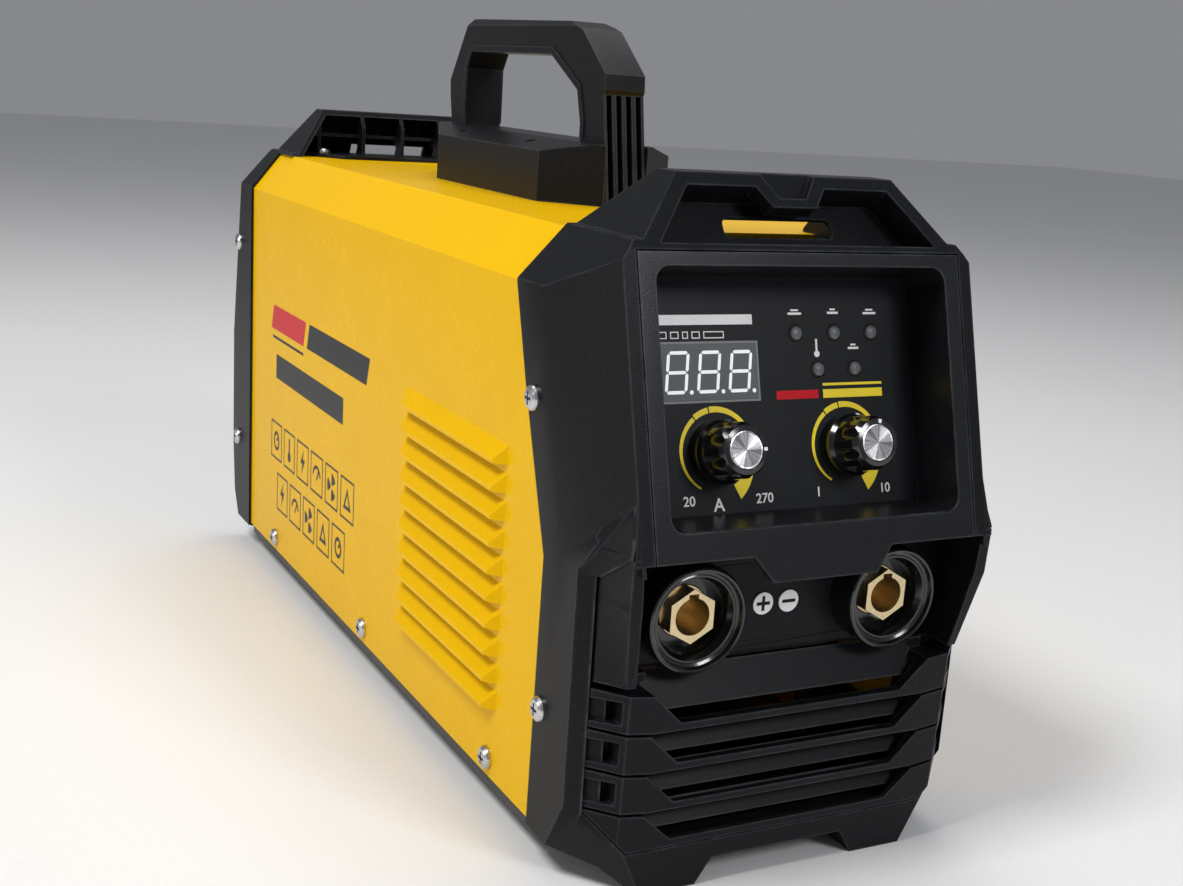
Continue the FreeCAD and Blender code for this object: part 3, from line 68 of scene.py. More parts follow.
# --------------------------------------------------------------- materials
def build(name, colour, dark=0.72, light=1.25, rough=0.5, rough_var=0.08, metal=0.0, grain=1500.0, bump=0.25,
          depth=0.00008, mottle=22.0, edge_highlight=0.0, edge_highlight_colour=(0.2, 0.2, 0.2), speck=0.0, speck_colour=(0.3, 0.3, 0.3),
          coat=0.0, coat_rough=0.1, specular=0.5, emission=0.0, stretch=(1, 1, 1), peel=0.0, sheen=0.0, dust=0.0):
    """One procedural finish: mottled colour, fine grain, specks, painted edge highlights, bump."""
    m = bpy.data.materials.new(name)
    m.use_nodes = True
    nt = m.node_tree
    nt.nodes.clear()
    N, L = nt.nodes.new, nt.links.new
    out = N("ShaderNodeOutputMaterial")
    bs = N("ShaderNodeBsdfPrincipled")
    L(bs.outputs[0], out.inputs[0])
    tc = N("ShaderNodeTexCoord")
    mp = N("ShaderNodeMapping")
    mp.inputs["Scale"].default_value = stretch
    L(tc.outputs["Object"], mp.inputs["Vector"])

    def noise(scale, detail=3.0, roughness=0.55, mapped=True):
        t = N("ShaderNodeTexNoise")
        t.inputs["Scale"].default_value = scale
        t.inputs["Detail"].default_value = detail
        t.inputs["Roughness"].default_value = roughness
        L(mp.outputs[0] if mapped else tc.outputs["Object"], t.inputs["Vector"])
        return t

    big = noise(mottle, 4.0, 0.6, False)
    fine = noise(grain, 2.0, 0.6)
    ramp = N("ShaderNodeValToRGB")
    ramp.color_ramp.elements[0].position = 0.3
    ramp.color_ramp.elements[1].position = 0.72
    ramp.color_ramp.elements[0].color = tuple(min(1, c * dark) for c in colour) + (1,)
    ramp.color_ramp.elements[1].color = tuple(min(1, c * light) for c in colour) + (1,)
    mixn = N("ShaderNodeMix")
    mixn.data_type = "FLOAT"
    mixn.inputs[0].default_value = 0.62
    L(big.outputs["Fac"], mixn.inputs[2])
    L(fine.outputs["Fac"], mixn.inputs[3])
    L(mixn.outputs[0], ramp.inputs[0])
    last = ramp.outputs[0]

    def over(fac, col, last):
        mx = N("ShaderNodeMix")
        mx.data_type = "RGBA"
        L(fac, mx.inputs[0])
        L(last, mx.inputs[6])
        mx.inputs[7].default_value = tuple(col) + (1,)
        return mx.outputs[2]

    def window(src, lo, hi, top):
        r = N("ShaderNodeMapRange")
        r.inputs[1].default_value, r.inputs[2].default_value = lo, hi
        r.inputs[3].default_value, r.inputs[4].default_value = 0.0, top
        L(src, r.inputs[0])
        return r.outputs[0]

    if speck:
        vo = N("ShaderNodeTexNoise")
        vo.inputs["Scale"].default_value = grain * 0.62
        vo.inputs["Detail"].default_value = 1.0
        L(tc.outputs["Object"], vo.inputs["Vector"])
        last = over(window(vo.outputs["Fac"], 0.60, 0.72, speck), speck_colour, last)
    if dust:
        ge = N("ShaderNodeNewGeometry")
        sp = N("ShaderNodeSeparateXYZ")
        L(ge.outputs["Normal"], sp.inputs[0])
        up = window(sp.outputs[2], 0.4, 1.0, dust)
        last = over(up, (0.32, 0.31, 0.29), last)
    # painted edge highlight: a lighter colour laid along the bevelled edges, broken up by noise, stands in for light
    # catching the edges
    if edge_highlight:
        ge = N("ShaderNodeNewGeometry")
        be = N("ShaderNodeBevel")
        be.samples = 4
        be.inputs["Radius"].default_value = 0.0011
        dot = N("ShaderNodeVectorMath")
        dot.operation = "DOT_PRODUCT"
        L(be.outputs[0], dot.inputs[0])
        L(ge.outputs["Normal"], dot.inputs[1])
        edge = window(dot.outputs["Value"], 0.998, 0.93, edge_highlight)
        highlight_breakup = noise(90, 3.0, 0.7, False)
        mul = N("ShaderNodeMath")
        mul.operation = "MULTIPLY"
        L(edge, mul.inputs[0])
        L(window(highlight_breakup.outputs["Fac"], 0.25, 0.62, 1.0), mul.inputs[1])
        last = over(mul.outputs[0], edge_highlight_colour, last)
    L(last, bs.inputs["Base Color"])
    rr = N("ShaderNodeMapRange")
    rr.inputs[3].default_value, rr.inputs[4].default_value = max(0.02, rough - rough_var), min(1, rough + rough_var)
    L(mixn.outputs[0], rr.inputs[0])
    L(rr.outputs[0], bs.inputs["Roughness"])
    bs.inputs["Metallic"].default_value = metal
    bs.inputs["Specular IOR Level"].default_value = specular
    if coat:
        bs.inputs["Coat Weight"].default_value = coat
        bs.inputs["Coat Roughness"].default_value = coat_rough
    if emission:
        bs.inputs["Emission Color"].default_value = tuple(colour) + (1,)
        bs.inputs["Emission Strength"].default_value = emission
    b1 = N("ShaderNodeBump")
    b1.inputs["Strength"].default_value = bump
    b1.inputs["Distance"].default_value = depth
    L(fine.outputs["Fac"], b1.inputs["Height"])
    if peel:
        op = noise(210, 2.0, 0.5, False)
        b2 = N("ShaderNodeBump")
        b2.inputs["Strength"].default_value = peel
        b2.inputs["Distance"].default_value = 0.0002
        L(op.outputs["Fac"], b2.inputs["Height"])
        L(b1.outputs[0], b2.inputs["Normal"])
        L(b2.outputs[0], bs.inputs["Normal"])
    else:
        L(b1.outputs[0], bs.inputs["Normal"])
    return m


# the edge colour given to a finish below is a painted highlight along its edges, lighter than its base colour
MATS = {
    "yellow_paint": build("yellow_paint", (0.82, 0.475, 0.0), 0.95, 1.04, 0.27, 0.05, grain=900, bump=0.10, depth=0.00005,
                          mottle=30, edge_highlight=0.30, edge_highlight_colour=(0.95, 0.62, 0.03), coat=0.0, specular=0.05,
                          peel=0.10),
    "black_steel": build("black_steel", (0.016, 0.016, 0.018), 0.8, 1.3, 0.42, 0.08, grain=1200, bump=0.2, edge_highlight=0.6,
                         edge_highlight_colour=(0.10, 0.10, 0.11)),
    "black_abs": build("black_abs", (0.0052, 0.0058, 0.0070), 0.80, 1.20, 0.40, 0.06, grain=1500, bump=0.50, depth=0.00012,
                       mottle=60, edge_highlight=0.75, edge_highlight_colour=(0.058, 0.063, 0.070), speck=0.18, speck_colour=(0.032, 0.035, 0.039),
                       specular=0.14),
    "bezel_abs": build("bezel_abs", (0.0052, 0.0058, 0.0072), 0.82, 1.18, 0.33, 0.06, grain=1700, bump=0.40, depth=0.0001,
                       mottle=60, edge_highlight=0.75, edge_highlight_colour=(0.066, 0.072, 0.080), speck=0.16, speck_colour=(0.032, 0.035, 0.039),
                       specular=0.30),
    "handle_abs": build("handle_abs", (0.0054, 0.0058, 0.0070), 0.80, 1.20, 0.38, 0.06, grain=1600, bump=0.45, depth=0.00012,
                        mottle=60, edge_highlight=0.75, edge_highlight_colour=(0.058, 0.062, 0.067), speck=0.18, speck_colour=(0.032, 0.034, 0.037),
                        specular=0.18),
    "panel_film": build("panel_film", (0.0095, 0.0105, 0.0125), 0.85, 1.2, 0.42, 0.06, grain=2400, bump=0.3, depth=0.00005,
                        mottle=60, speck=0.22, speck_colour=(0.032, 0.034, 0.038), specular=0.18),
    "knob_black": build("knob_black", (0.0035, 0.0035, 0.004), 0.8, 1.2, 0.15, 0.05, grain=1500, bump=0.06, depth=0.00004,
                        edge_highlight=0.4, edge_highlight_colour=(0.06, 0.06, 0.065), coat=0.5),
    "socket_black": build("socket_black", (0.0035, 0.0035, 0.0038), 0.8, 1.2, 0.17, 0.06, grain=1300, bump=0.10, depth=0.00005,
                          edge_highlight=0.4, edge_highlight_colour=(0.06, 0.06, 0.065), coat=0.4),
    "brass": build("brass", (0.76, 0.61, 0.36), 0.78, 1.10, 0.33, 0.10, 1.0, grain=900, bump=0.22, depth=0.00005, mottle=130,
                   edge_highlight=0.4, edge_highlight_colour=(0.90, 0.72, 0.40)),
    # copper darkened far below bare copper: painted shade for the case interior seen through the intake slots
    "copper_bar": build("copper_bar", (0.060, 0.034, 0.024), 0.8, 1.15, 0.3, 0.1, 1.0, grain=900, bump=0.2, mottle=60),
    "zinc_steel": build("zinc_steel", (0.62, 0.62, 0.64), 0.72, 1.15, 0.27, 0.10, 1.0, grain=1300, bump=0.18, depth=0.00006,
                        mottle=160, edge_highlight=0.3, edge_highlight_colour=(0.85, 0.85, 0.86)),
    "led_lens": build("led_lens", (0.11, 0.115, 0.12), 0.8, 1.15, 0.34, 0.05, grain=1200, bump=0.08, mottle=160, coat=0.5),
    "display_face": build("display_face", (0.13, 0.137, 0.142), 0.85, 1.12, 0.16, 0.04, grain=1500, bump=0.05, mottle=70,
                          coat=0.8, coat_rough=0.04),
    "disc_white": build("disc_white", (0.88, 0.88, 0.89), 0.9, 1.05, 0.4, 0.06, grain=1500, bump=0.15, mottle=120),
    "circuit_board": build("circuit_board", (0.004, 0.022, 0.010), 0.7, 1.3, 0.35, 0.1, grain=700, bump=0.3, mottle=140),
    "heatsink_alu": build("heatsink_alu", (0.36, 0.365, 0.38), 0.75, 1.1, 0.38, 0.1, 1.0, grain=800, bump=0.3, mottle=50,
                          stretch=(1, 0.05, 1)),
    "ferrite": build("ferrite", (0.05, 0.05, 0.055), 0.7, 1.3, 0.6, 0.1, grain=700, bump=0.4, mottle=60),
    "capacitor_sleeve": build("capacitor_sleeve", (0.012, 0.018, 0.05), 0.8, 1.2, 0.25, 0.08, grain=800, bump=0.1, mottle=60),
    "fan_plastic": build("fan_plastic", (0.012, 0.012, 0.014), 0.8, 1.3, 0.38, 0.08, grain=1200, bump=0.25, mottle=40,
                         edge_highlight=0.4, edge_highlight_colour=(0.06, 0.06, 0.06)),
    "switch_black": build("switch_black", (0.009, 0.009, 0.01), 0.8, 1.3, 0.24, 0.06, grain=1100, bump=0.12, mottle=60,
                          edge_highlight=0.4, edge_highlight_colour=(0.06, 0.06, 0.06)),
    "switch_red": build("switch_red", (0.48, 0.012, 0.010), 0.85, 1.15, 0.22, 0.06, grain=900, bump=0.1, mottle=60, coat=0.4,
                        edge_highlight=0.3, edge_highlight_colour=(0.65, 0.08, 0.06)),
    "gland_nylon": build("gland_nylon", (0.014, 0.014, 0.015), 0.8, 1.3, 0.42, 0.08, grain=1400, bump=0.3, mottle=60,
                         edge_highlight=0.5, edge_highlight_colour=(0.07, 0.07, 0.07)),
}
INK_WHITE = build("ink_white", (0.82, 0.82, 0.82), 0.9, 1.06, 0.42, 0.06, grain=1800, bump=0.15, depth=0.00003, mottle=90)
INK_YELLOW = build("ink_yellow", (1.0, 0.74, 0.012), 0.9, 1.06, 0.42, 0.06, grain=1800, bump=0.15, depth=0.00003, mottle=90)
INK_RED = build("ink_red", (0.60, 0.012, 0.02), 0.85, 1.1, 0.36, 0.06, grain=1500, bump=0.12, depth=0.00003, mottle=60,
                specular=0.15)
INK_BLACK = build("ink_black", (0.006, 0.006, 0.006), 0.8, 1.4, 0.34, 0.06, grain=1500, bump=0.12, depth=0.00003, mottle=60,
                  specular=0.15)
INK_GREY = build("ink_grey", (0.22, 0.225, 0.23), 0.85, 1.1, 0.42, 0.06, grain=1800, bump=0.15, depth=0.00003, mottle=90)
SEGMENT = build("segment_white", (0.86, 0.87, 0.88), 0.93, 1.04, 0.3, 0.04, grain=1500, bump=0.05, depth=0.00002, mottle=90,
                emission=0.35)

SLOT = {s["node"]: s["material_slot"] for s in frame["record"]["subparts"]}
for name, o in nodes.items():
    mat = MATS.get(SLOT.get(name))
    if mat is None:
        continue
    for s in o.material_slots:
        s.link = "OBJECT"
        s.material = mat


def soften(name, width, angle=28.0, segments=2):
    """Moulded or folded edges catch the light: rounds a CAD node's sharp edges."""
    o = nodes[name]
    w = o.modifiers.new("Weld", "WELD")
    w.merge_threshold = 2e-6
    b = o.modifiers.new("Bevel", "BEVEL")
    b.width = width / 1000
    b.segments = segments
    b.limit_method = "ANGLE"
    b.angle_limit = math.radians(angle)
    b.use_clamp_overlap = True
    b.miter_outer = "MITER_ARC" if segments > 2 else "MITER_SHARP"
    n = o.modifiers.new("Normals", "WEIGHTED_NORMAL")
    n.weight = 80
    n.keep_sharp = False


for name, width in (("front_shell", 0.8), ("control_bezel", 0.7), ("intake_grille", 0.5), ("rear_shell", 0.8),
                    ("handle_grip", 0.9), ("base_tray", 0.4), ("socket_panel", 0.3)):
    soften(name, width)


# ------------------------------------------------------------- mesh pieces
def piece(name, bm, mat, body, smooth=False):
    bmesh.ops.remove_doubles(bm, verts=bm.verts, dist=1e-7)
    bmesh.ops.recalc_face_normals(bm, faces=bm.faces)
    me = bpy.data.meshes.new(name)
    bm.to_mesh(me)
    bm.free()
    me.materials.append(mat)
    if smooth:
        for p in me.polygons:
            p.use_smooth = True
    o = bpy.data.objects.new(name, me)
    scene.collection.objects.link(o)
    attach(o, body)
    return o


def slab(bm, place, loops, n0, n1):
    """A closed thin plate: outer loop plus any holes, drawn in (a, b), from n0 to n1."""
    flat = [[Vector((a, b, 0)) for a, b in loop] for loop in loops]
    pts = [p for loop in flat for p in loop]
    low = [bm.verts.new(place(p.x, p.y, n0)) for p in pts]
    top = [bm.verts.new(place(p.x, p.y, n1)) for p in pts]
    for tri in tessellate_polygon(flat):
        try:
            bm.faces.new([top[i] for i in tri])
            bm.faces.new([low[i] for i in reversed(tri)])
        except ValueError:
            pass
    at = 0
    for loop in flat:
        k = len(loop)
        for i in range(k):
            j = (i + 1) % k
            bm.faces.new([low[at + i], low[at + j], top[at + j], top[at + i]])
        at += k


def rect(x0, y0, x1, y1):
    return [(x0, y0), (x1, y0), (x1, y1), (x0, y1)]


def circle(x, y, r, k=28):
    return [(x + r * math.cos(2 * math.pi * i / k), y + r * math.sin(2 * math.pi * i / k)) for i in range(k)]


def frame_loops(x0, y0, x1, y1, w):
    return [rect(x0, y0, x1, y1), list(reversed(rect(x0 + w, y0 + w, x1 - w, y1 - w)))]


def bar(x0, y0, x1, y1, w):
    d = Vector((x1 - x0, y1 - y0)).normalized() * (w / 2)
    return [(x0 - d.y, y0 + d.x), (x0 + d.y, y0 - d.x), (x1 + d.y, y1 - d.x), (x1 - d.y, y1 + d.x)]


def sweep(cx, cy, a0, a1, inner, outer, k=40):
    """A band between two radii, each a number or a function of progress 0..1."""
    f = inner if callable(inner) else (lambda t: inner)
    g = outer if callable(outer) else (lambda t: outer)
    out_, in_ = [], []
    for i in range(k + 1):
        t = i / k
        a = math.radians(a0 + (a1 - a0) * t)
        out_.append((cx + g(t) * math.cos(a), cy + g(t) * math.sin(a)))
        in_.append((cx + f(t) * math.cos(a), cy + f(t) * math.sin(a)))
    return out_ + in_[::-1]


FILM = -22.6


def film(a, b, n):
    return face(a, b, FILM + n)


def lettering(name, text, x, v, height, mat):
    """Generic dial figures, as thin raised print on the panel film."""
    cu = bpy.data.curves.new(name + "_curve", "FONT")
    cu.body = text
    cu.align_x = "CENTER"
    cu.align_y = "BOTTOM_BASELINE"
    cu.size = height / 0.70
    cu.extrude = 0.03
    cu.offset = 0.02 * height
    cu.resolution_u = 4
    tmp = bpy.data.objects.new(name + "_tmp", cu)
    scene.collection.objects.link(tmp)
    bpy.context.view_layer.update()
    me = bpy.data.meshes.new_from_object(tmp.evaluated_get(bpy.context.evaluated_depsgraph_get()))
    bpy.data.objects.remove(tmp)
    bm = bmesh.new()
    bm.from_mesh(me)
    for vt in bm.verts:
        vt.co = film(x + vt.co.x, v - height / 2 + vt.co.y, 0.03 + vt.co.z)
    return piece(name, bm, mat, "case")


# ------------------------------------------------------------ control panel
KNOBS = ((-25.6, "current", 90.0), (27.5, "force", 10.0))
for kx, word, _ in KNOBS:
    bm = bmesh.new()
    slab(bm, film, [sweep(kx, 30, 239, 126.5, lambda t: 13.5, lambda t: 14.2 + 0.9 * t)], -0.01, 0.05)
    slab(bm, film, [sweep(kx, 30, 124.5, 101, 13.5, 15.5, 12)], -0.01, 0.05)
    slab(bm, film, [sweep(kx, 30, 99, 40, 13.5, lambda t: 15.6 - 0.6 * t)], -0.01, 0.05)
    slab(bm, film, [sweep(kx, 30, -28, -63, 12.6, lambda t: 15.6 + 2.6 * t, 14)], -0.01, 0.05)
    piece(word + "_scale_arc", bm, INK_YELLOW, "case")

for name, text, x, v, h in (("figure_low_current", "20", -37.7, 14.2, 3.3), ("figure_unit", "A", -26.2, 12.4, 4.4),
                            ("figure_high_current", "270", -7.9, 13.6, 3.3), ("figure_low_force", "1", 14.5, 14.4, 3.3),
                            ("figure_high_force", "10", 43.0, 14.2, 3.3)):
    lettering(name, text, x, v, h, INK_WHITE)

# plain bars where the panel carries its title and icon row
bm = bmesh.new()
slab(bm, film, [rect(-45.6, 73.0, -8.6, 76.4)], -0.01, 0.05)
piece("panel_title_bar", bm, INK_WHITE, "case")
bm = bmesh.new()
for i, w in enumerate((3.2, 3.2, 2.2, 3.2, 8.0)):
    x0 = -45.6 + (0, 4.6, 9.2, 12.8, 17.4)[i]
    slab(bm, film, frame_loops(x0, 68.4, x0 + w, 70.8, 0.35), -0.01, 0.05)
piece("panel_icon_row", bm, INK_WHITE, "case")
bm = bmesh.new()
slab(bm, film, [rect(-0.4, 46.9, 17.0, 49.9)], -0.01, 0.05)
piece("panel_band_red", bm, INK_RED, "case")
bm = bmesh.new()
slab(bm, film, [rect(19.0, 46.9, 44.5, 49.9)], -0.01, 0.05)
slab(bm, film, [rect(19.0, 51.2, 44.5, 52.1)], -0.01, 0.05)
piece("panel_band_yellow", bm, INK_YELLOW, "case")

# marks above the lamps: a thermometer and plain tallies
bm = bmesh.new()
slab(bm, film, [circle(17.4, 62.4, 1.15, 20)], -0.01, 0.05)
slab(bm, film, [rect(17.0, 63.2, 17.8, 67.6)], -0.01, 0.05)
for x, v, w in ((9.0, 76.4, 5.6), (25.1, 76.6, 4.6), (41.0, 76.4, 5.6), (33.1, 64.1, 4.6)):
    slab(bm, film, [rect(x - w / 2, v - 0.3, x + w / 2, v + 0.5)], -0.01, 0.05)
    slab(bm, film, [rect(x - w / 2 + 1.2, v + 1.0, x + w / 2 - 1.2, v + 1.6)], -0.01, 0.05)
piece("lamp_marks", bm, INK_WHITE, "case")
bm = bmesh.new()
for x, v in ((9.0, 69.7), (25.1, 69.7), (41.0, 69.7), (17.4, 57.0), (33.1, 57.0)):
    slab(bm, film, [circle(x, v, 3.15, 32), list(reversed(circle(x, v, 2.66, 32)))], -0.01, 0.12)
piece("lamp_rims", bm, INK_BLACK, "case")


# seven-segment figures, slanted as on a real module
def display(a, b, n):
    return face(a, b, -22.2 + n)


bm = bmesh.new()
dots = bmesh.new()
for k in range(3):
    cx, cy = -39.4 + 12.35 * k, 57.1
    w, h, t = 3.75, 6.6, 1.12

    def lean(loop):
        return [(cx + x + 0.14 * y, cy + y) for x, y in loop]

    for sy in (-1, 0, 1):
        y = sy * h
        slab(bm, display, [lean([(-w + 0.25, y), (-w + 0.25 + t / 2, y + t / 2), (w - 0.25 - t / 2, y + t / 2), (w - 0.25, y),
                                 (w - 0.25 - t / 2, y - t / 2), (-w + 0.25 + t / 2, y - t / 2)])], -0.01, 0.04)
    for sx in (-1, 1):
        for y0, y1 in ((0.25, h - 0.25), (-h + 0.25, -0.25)):
            x = sx * w
            slab(bm, display, [lean([(x, y0), (x + t / 2, y0 + t / 2), (x + t / 2, y1 - t / 2), (x, y1), (x - t / 2, y1 - t / 2),
                                     (x - t / 2, y0 + t / 2)])], -0.01, 0.04)
    slab(dots, display, [circle(cx + 5.1, cy - h - 0.1, 0.72, 20)], -0.01, 0.04)
piece("display_segments", bm, SEGMENT, "case")
piece("display_points", dots, SEGMENT, "case")
bm = bmesh.new()
slab(bm, film, frame_loops(-46.4, 46.8, -7.0, 67.4, 0.75), -0.01, 0.10)
piece("display_surround", bm, INK_GREY, "case")


# --------------------------------------------------------------- knob caps
def spun_metal_painted_sheen():
    m = bpy.data.materials.new("spun_metal_painted_sheen")
    m.use_nodes = True
    nt = m.node_tree
    N, L = nt.nodes.new, nt.links.new
    bs = nt.nodes["Principled BSDF"]
    bs.inputs["Metallic"].default_value = 1.0
    bs.inputs["Anisotropic"].default_value = 0.75
    tc = N("ShaderNodeTexCoord")
    sp = N("ShaderNodeSeparateXYZ")
    L(tc.outputs["Object"], sp.inputs[0])
    # painted highlight: the angle round the cap axis drives light and dark radial sectors in the base colour, standing
    # in for the anisotropic highlights of spun metal
    at = N("ShaderNodeMath")
    at.operation = "ARCTAN2"
    L(sp.outputs[1], at.inputs[0])
    L(sp.outputs[0], at.inputs[1])
    painted_sheen_noise = N("ShaderNodeTexNoise")
    painted_sheen_noise.noise_dimensions = "1D"
    painted_sheen_noise.inputs["Scale"].default_value = 2.4
    painted_sheen_noise.inputs["Detail"].default_value = 3.0
    L(at.outputs[0], painted_sheen_noise.inputs["W"])
    fi = N("ShaderNodeTexNoise")
    fi.inputs["Scale"].default_value = 2600
    L(tc.outputs["Object"], fi.inputs["Vector"])
    painted_sheen_ramp = N("ShaderNodeValToRGB")
    painted_sheen_ramp.color_ramp.elements[0].position, painted_sheen_ramp.color_ramp.elements[1].position = 0.40, 0.58
    painted_sheen_ramp.color_ramp.elements[0].color = (0.42, 0.42, 0.44, 1)
    painted_sheen_ramp.color_ramp.elements[1].color = (0.94, 0.94, 0.95, 1)
    L(painted_sheen_noise.outputs["Fac"], painted_sheen_ramp.inputs[0])
    L(painted_sheen_ramp.outputs[0], bs.inputs["Base Color"])
    mr = N("ShaderNodeMapRange")
    mr.inputs[3].default_value, mr.inputs[4].default_value = 0.2, 0.38
    L(fi.outputs["Fac"], mr.inputs[0])
    L(mr.outputs[0], bs.inputs["Roughness"])
    bu = N("ShaderNodeBump")
    bu.inputs["Strength"].default_value = 0.15
    bu.inputs["Distance"].default_value = 0.00004
    L(fi.outputs["Fac"], bu.inputs["Height"])
    L(bu.outputs[0], bs.inputs["Normal"])
    ta = N("ShaderNodeTangent")
    ta.direction_type = "RADIAL"
    ta.axis = "Z"
    L(ta.outputs[0], bs.inputs["Tangent"])
    return m


SPUN_PAINTED_SHEEN = spun_metal_painted_sheen()
for kx, word, turn in KNOBS:
    body = word + "_control"
    bm = bmesh.new()
    prof = [(0, -4.8), (6.4, -4.8), (6.4, -4.2), (6.25, -4.02), (6.0, -3.95), (5.7, -3.98), (0, -3.98)]
    k = 72
    rings = []
    for r, n in prof:
        if r == 0:
            rings.append([bm.verts.new((0, 0, n / 1000))])
        else:
            rings.append([bm.verts.new((r * math.cos(2 * math.pi * i / k) / 1000, r * math.sin(2 * math.pi * i / k) / 1000, n / 1000))
                          for i in range(k)])
    for a, b in zip(rings, rings[1:]):
        for i in range(k):
            j = (i + 1) % k
            if len(a) == 1:
                bm.faces.new([a[0], b[i], b[j]])
            elif len(b) == 1:
                bm.faces.new([a[i], a[j], b[0]])
            else:
                bm.faces.new([a[i], a[j], b[j], b[i]])
    bmesh.ops.recalc_face_normals(bm, faces=bm.faces)
    me = bpy.data.meshes.new(word + "_cap")
    bm.to_mesh(me)
    bm.free()
    me.materials.append(SPUN_PAINTED_SHEEN)
    cap = bpy.data.objects.new(word + "_spun_cap", me)
    scene.collection.objects.link(cap)
    rot = Matrix((Vector((1, 0, 0)), UP, OUT)).transposed()
    cap.matrix_world = Matrix.Translation(face(kx, 30, 0)) @ rot.to_4x4()
    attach(cap, body)
    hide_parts(word + "_knob_inlay")

    a = math.radians(90 - turn)
    ca, sa = math.cos(a), math.sin(a)

    def spoke(u, w, n, kx=kx, ca=ca, sa=sa):
        return face(kx + u * ca - w * sa, 30 + u * sa + w * ca, n)

    bm = bmesh.new()
    slab(bm, spoke, [rect(6.7, -0.55, 8.05, 0.55)], -4.4, -3.93)
    slab(bm, spoke, [rect(9.7, -0.7, 10.95, 0.7)], -18.2, -17.2)
    piece(word + "_pointer", bm, INK_WHITE, body)

# raised border round the opening of the grip, on both cheeks
GRIP_HALF = 9.0
INNER = [(317.5, 244.0), (311.5, 244.0), (311.5, 269.0), (306.0, 276.7), (217.0, 276.7), (190.0, 263.0), (185.6, 250.0), (185.6, 244.0)]
OUTER = [(314.6, 244.0), (314.6, 270.0), (307.6, 279.8), (216.2, 279.8), (187.5, 265.2), (182.5, 250.6), (182.5, 244.0)]
for sgn, side in ((-1, "left"), (1, "right")):
    def cheek(a, b, n, sgn=sgn):
        return mm(sgn * (GRIP_HALF + n), a - 236.5, b)

    bm = bmesh.new()
    slab(bm, cheek, [OUTER + INNER[1:][::-1]], -0.05, 0.55)
    piece("grip_border_" + side, bm, MATS["handle_abs"], "case")

# ----------------------------------------------------------- polarity signs
SIGN_Y = (24.4 - 236.5)


def sign(a, b, n):
    return mm(a, SIGN_Y - n, b)


bm = bmesh.new()
for x in (-7.3, 3.2):
    slab(bm, sign, [rect(x - 2.7, 95.5, x + 2.7, 96.7)], -0.02, 0.06)
slab(bm, sign, [rect(-7.9, 93.4, -6.7, 95.5)], -0.02, 0.06)
slab(bm, sign, [rect(-7.9, 96.7, -6.7, 98.8)], -0.02, 0.06)
piece("polarity_signs", bm, INK_BLACK, "case")

# -------------------------------------------------------- side decorations
SIDE_X = 78.3


def sidewall(sgn):
    def place(a, b, n):
        # a runs to the reader's right on each side of the case
        return mm(sgn * (SIDE_X + n), (sgn * a), b)
    return place


def icons(bm, place, x, z, s, kind):
    c, d = x + s / 2, z + s / 2
    if kind == 0:
        slab(bm, place, [circle(c, d, s * 0.26, 24), list(reversed(circle(c, d, s * 0.17, 24)))], -0.01, 0.05)
        slab(bm, place, [bar(c, d, c + s * 0.13, d + s * 0.11, s * 0.07)], -0.01, 0.05)
    elif kind == 1:
        slab(bm, place, [rect(c - s * 0.05, d - s * 0.05, c + s * 0.05, d + s * 0.32)], -0.01, 0.05)
        slab(bm, place, [circle(c, d - s * 0.16, s * 0.13, 20)], -0.01, 0.05)
    elif kind == 2:
        slab(bm, place, [[(c + s * 0.08, d + s * 0.34), (c - s * 0.18, d - s * 0.04), (c - s * 0.01, d - s * 0.04),
                          (c - s * 0.1, d - s * 0.34), (c + s * 0.2, d + s * 0.08), (c + s * 0.02, d + s * 0.08)]], -0.01, 0.05)
    elif kind == 3:
        slab(bm, place, [sweep(c, d - s * 0.12, 165, 15, s * 0.26, s * 0.34, 16)], -0.01, 0.05)
        slab(bm, place, [bar(c, d - s * 0.14, c + s * 0.16, d + s * 0.12, s * 0.07)], -0.01, 0.05)
    elif kind == 4:
        for i in range(3):
            a0 = 90 + 120 * i
            slab(bm, place, [sweep(c, d, a0, a0 - 62, s * 0.07, s * 0.33, 10)], -0.01, 0.05)
    else:
        slab(bm, place, [[(c - s * 0.28, d - s * 0.24), (c + s * 0.28, d - s * 0.24), (c, d + s * 0.28)],
                         [(c, d + s * 0.12), (c + s * 0.14, d - s * 0.15), (c - s * 0.14, d - s * 0.15)]], -0.01, 0.05)


for sgn, side in ((-1, "left"), (1, "right")):
    place = sidewall(sgn)
    # on the left side the reader's right is the front; place() mirrors a for the right side
    lo, hi = (-160.5, -1.5) if sgn < 0 else (1.5, 160.5)
    span = hi - lo
    bm = bmesh.new()
    slab(bm, place, [[(lo, 131.0), (lo + 58, 131.0), (lo + 62, 143.5), (lo + 4, 143.5)]], -0.01, 0.05)
    piece("side_band_red_" + side, bm, INK_RED, "case")
    bm = bmesh.new()
    slab(bm, place, [[(lo + 64, 131.0), (hi - 4, 131.0), (hi, 143.5), (lo + 68, 143.5)]], -0.01, 0.05)
    slab(bm, place, [rect(lo + 3, 126.2, lo + 58, 127.6)], -0.01, 0.05)
    slab(bm, place, [rect(lo + 10, 106.0, hi - 36, 118.5)], -0.01, 0.05)
    piece("side_band_black_" + side, bm, INK_BLACK, "case")
    bm = bmesh.new()
    s = 20.0
    for row, (z, count, first) in enumerate(((62.5, 6, lo + 2), (36.0, 5, lo + 14))):
        for i in range(count):
            x = first + i * 24.0
            slab(bm, place, frame_loops(x, z, x + s, z + s, 1.0), -0.01, 0.05)
            icons(bm, place, x, z, s, (i + 2 * row) % 6)
    piece("side_icons_" + side, bm, INK_BLACK, "case")

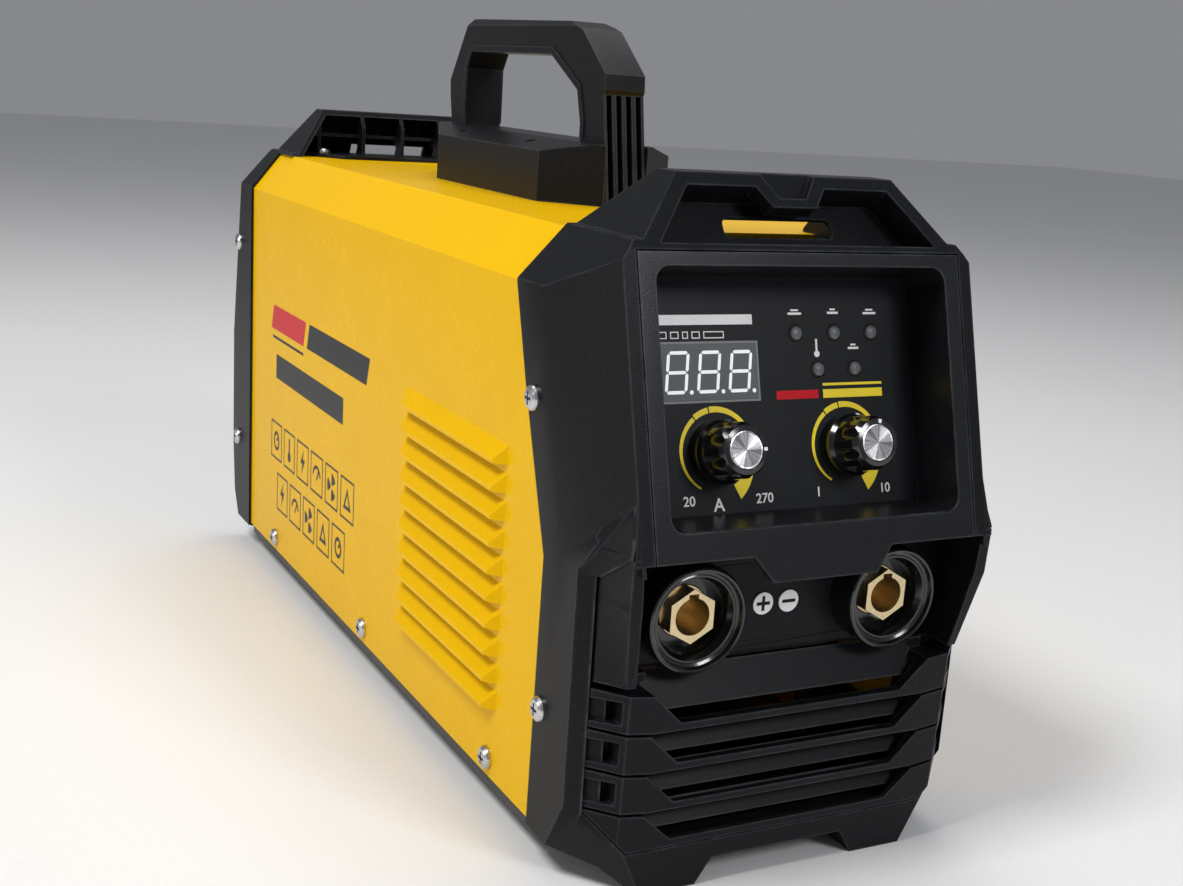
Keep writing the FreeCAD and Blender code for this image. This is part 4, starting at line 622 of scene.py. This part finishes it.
# ----------------------------------------------------------- stage and light
bm = bmesh.new()
for x, y in ((-6, -6), (6, -6), (6, 6), (-6, 6)):
    bm.verts.new((x, y, -0.0002))
bm.faces.new(bm.verts)
me = bpy.data.meshes.new("floor")
bm.to_mesh(me)
bm.free()
FLOOR = build("floor_pale", (0.80, 0.80, 0.80), 0.97, 1.02, 0.6, 0.04, grain=400, bump=0.05, mottle=3)
me.materials.append(FLOOR)
floor = bpy.data.objects.new("floor", me)
scene.collection.objects.link(floor)

world = bpy.data.worlds.new("studio")
scene.world = world
world.use_nodes = True
world.node_tree.nodes["Background"].inputs[0].default_value = (0.93, 0.95, 1.0, 1)
world.node_tree.nodes["Background"].inputs[1].default_value = 0.26


def area(name, at, aim, size, power, colour=(1, 1, 1), size_y=None):
    d = bpy.data.lights.new(name, "AREA")
    d.energy = power
    d.color = colour
    d.size = size
    if size_y:
        d.shape = "RECTANGLE"
        d.size_y = size_y
    o = bpy.data.objects.new(name, d)
    scene.collection.objects.link(o)
    o.location = at
    o.rotation_euler = (Vector(aim) - Vector(at)).to_track_quat("-Z", "Y").to_euler()
    return o


area("key", (-1.05, -0.30, 1.75), (0, 0, 0.12), 0.55, 24, (1.0, 0.99, 0.97))
area("top", (0.25, 0.55, 1.7), (0, 0, 0.2), 0.9, 9)
area("front", (0.45, -1.7, 1.15), (0, -0.1, 0.12), 0.5, 13, (0.97, 0.98, 1.0))
area("low_left", (-1.7, 0.35, 0.55), (0, 0.05, 0.12), 0.5, 4.0, (1.0, 0.98, 0.95), 0.4)

# -------------------------------------------------------------------- camera
cam_data = bpy.data.cameras.new("camera")
cam = bpy.data.objects.new("camera", cam_data)
scene.collection.objects.link(cam)
yaw, pitch, roll = (math.radians(v) for v in (29.047966, 14.002318, 4.081353))
fwd = Vector((math.cos(pitch) * math.sin(yaw), math.cos(pitch) * math.cos(yaw), -math.sin(pitch)))
right0 = Vector((math.cos(yaw), -math.sin(yaw), 0))
up0 = right0.cross(fwd)
right = math.cos(roll) * right0 + math.sin(roll) * up0
upward = -math.sin(roll) * right0 + math.cos(roll) * up0
m = Matrix((right, upward, -fwd)).transposed().to_4x4()
m.translation = Vector((-0.292656, -0.629349, 0.265314))
cam.matrix_world = m
cam_data.sensor_width = 36.0
cam_data.lens = 46.654
cam_data.shift_x = -0.03819
cam_data.shift_y = 0.02398
cam_data.clip_start = 0.01
cam_data.clip_end = 50
scene.camera = cam

bpy.context.view_layer.update()
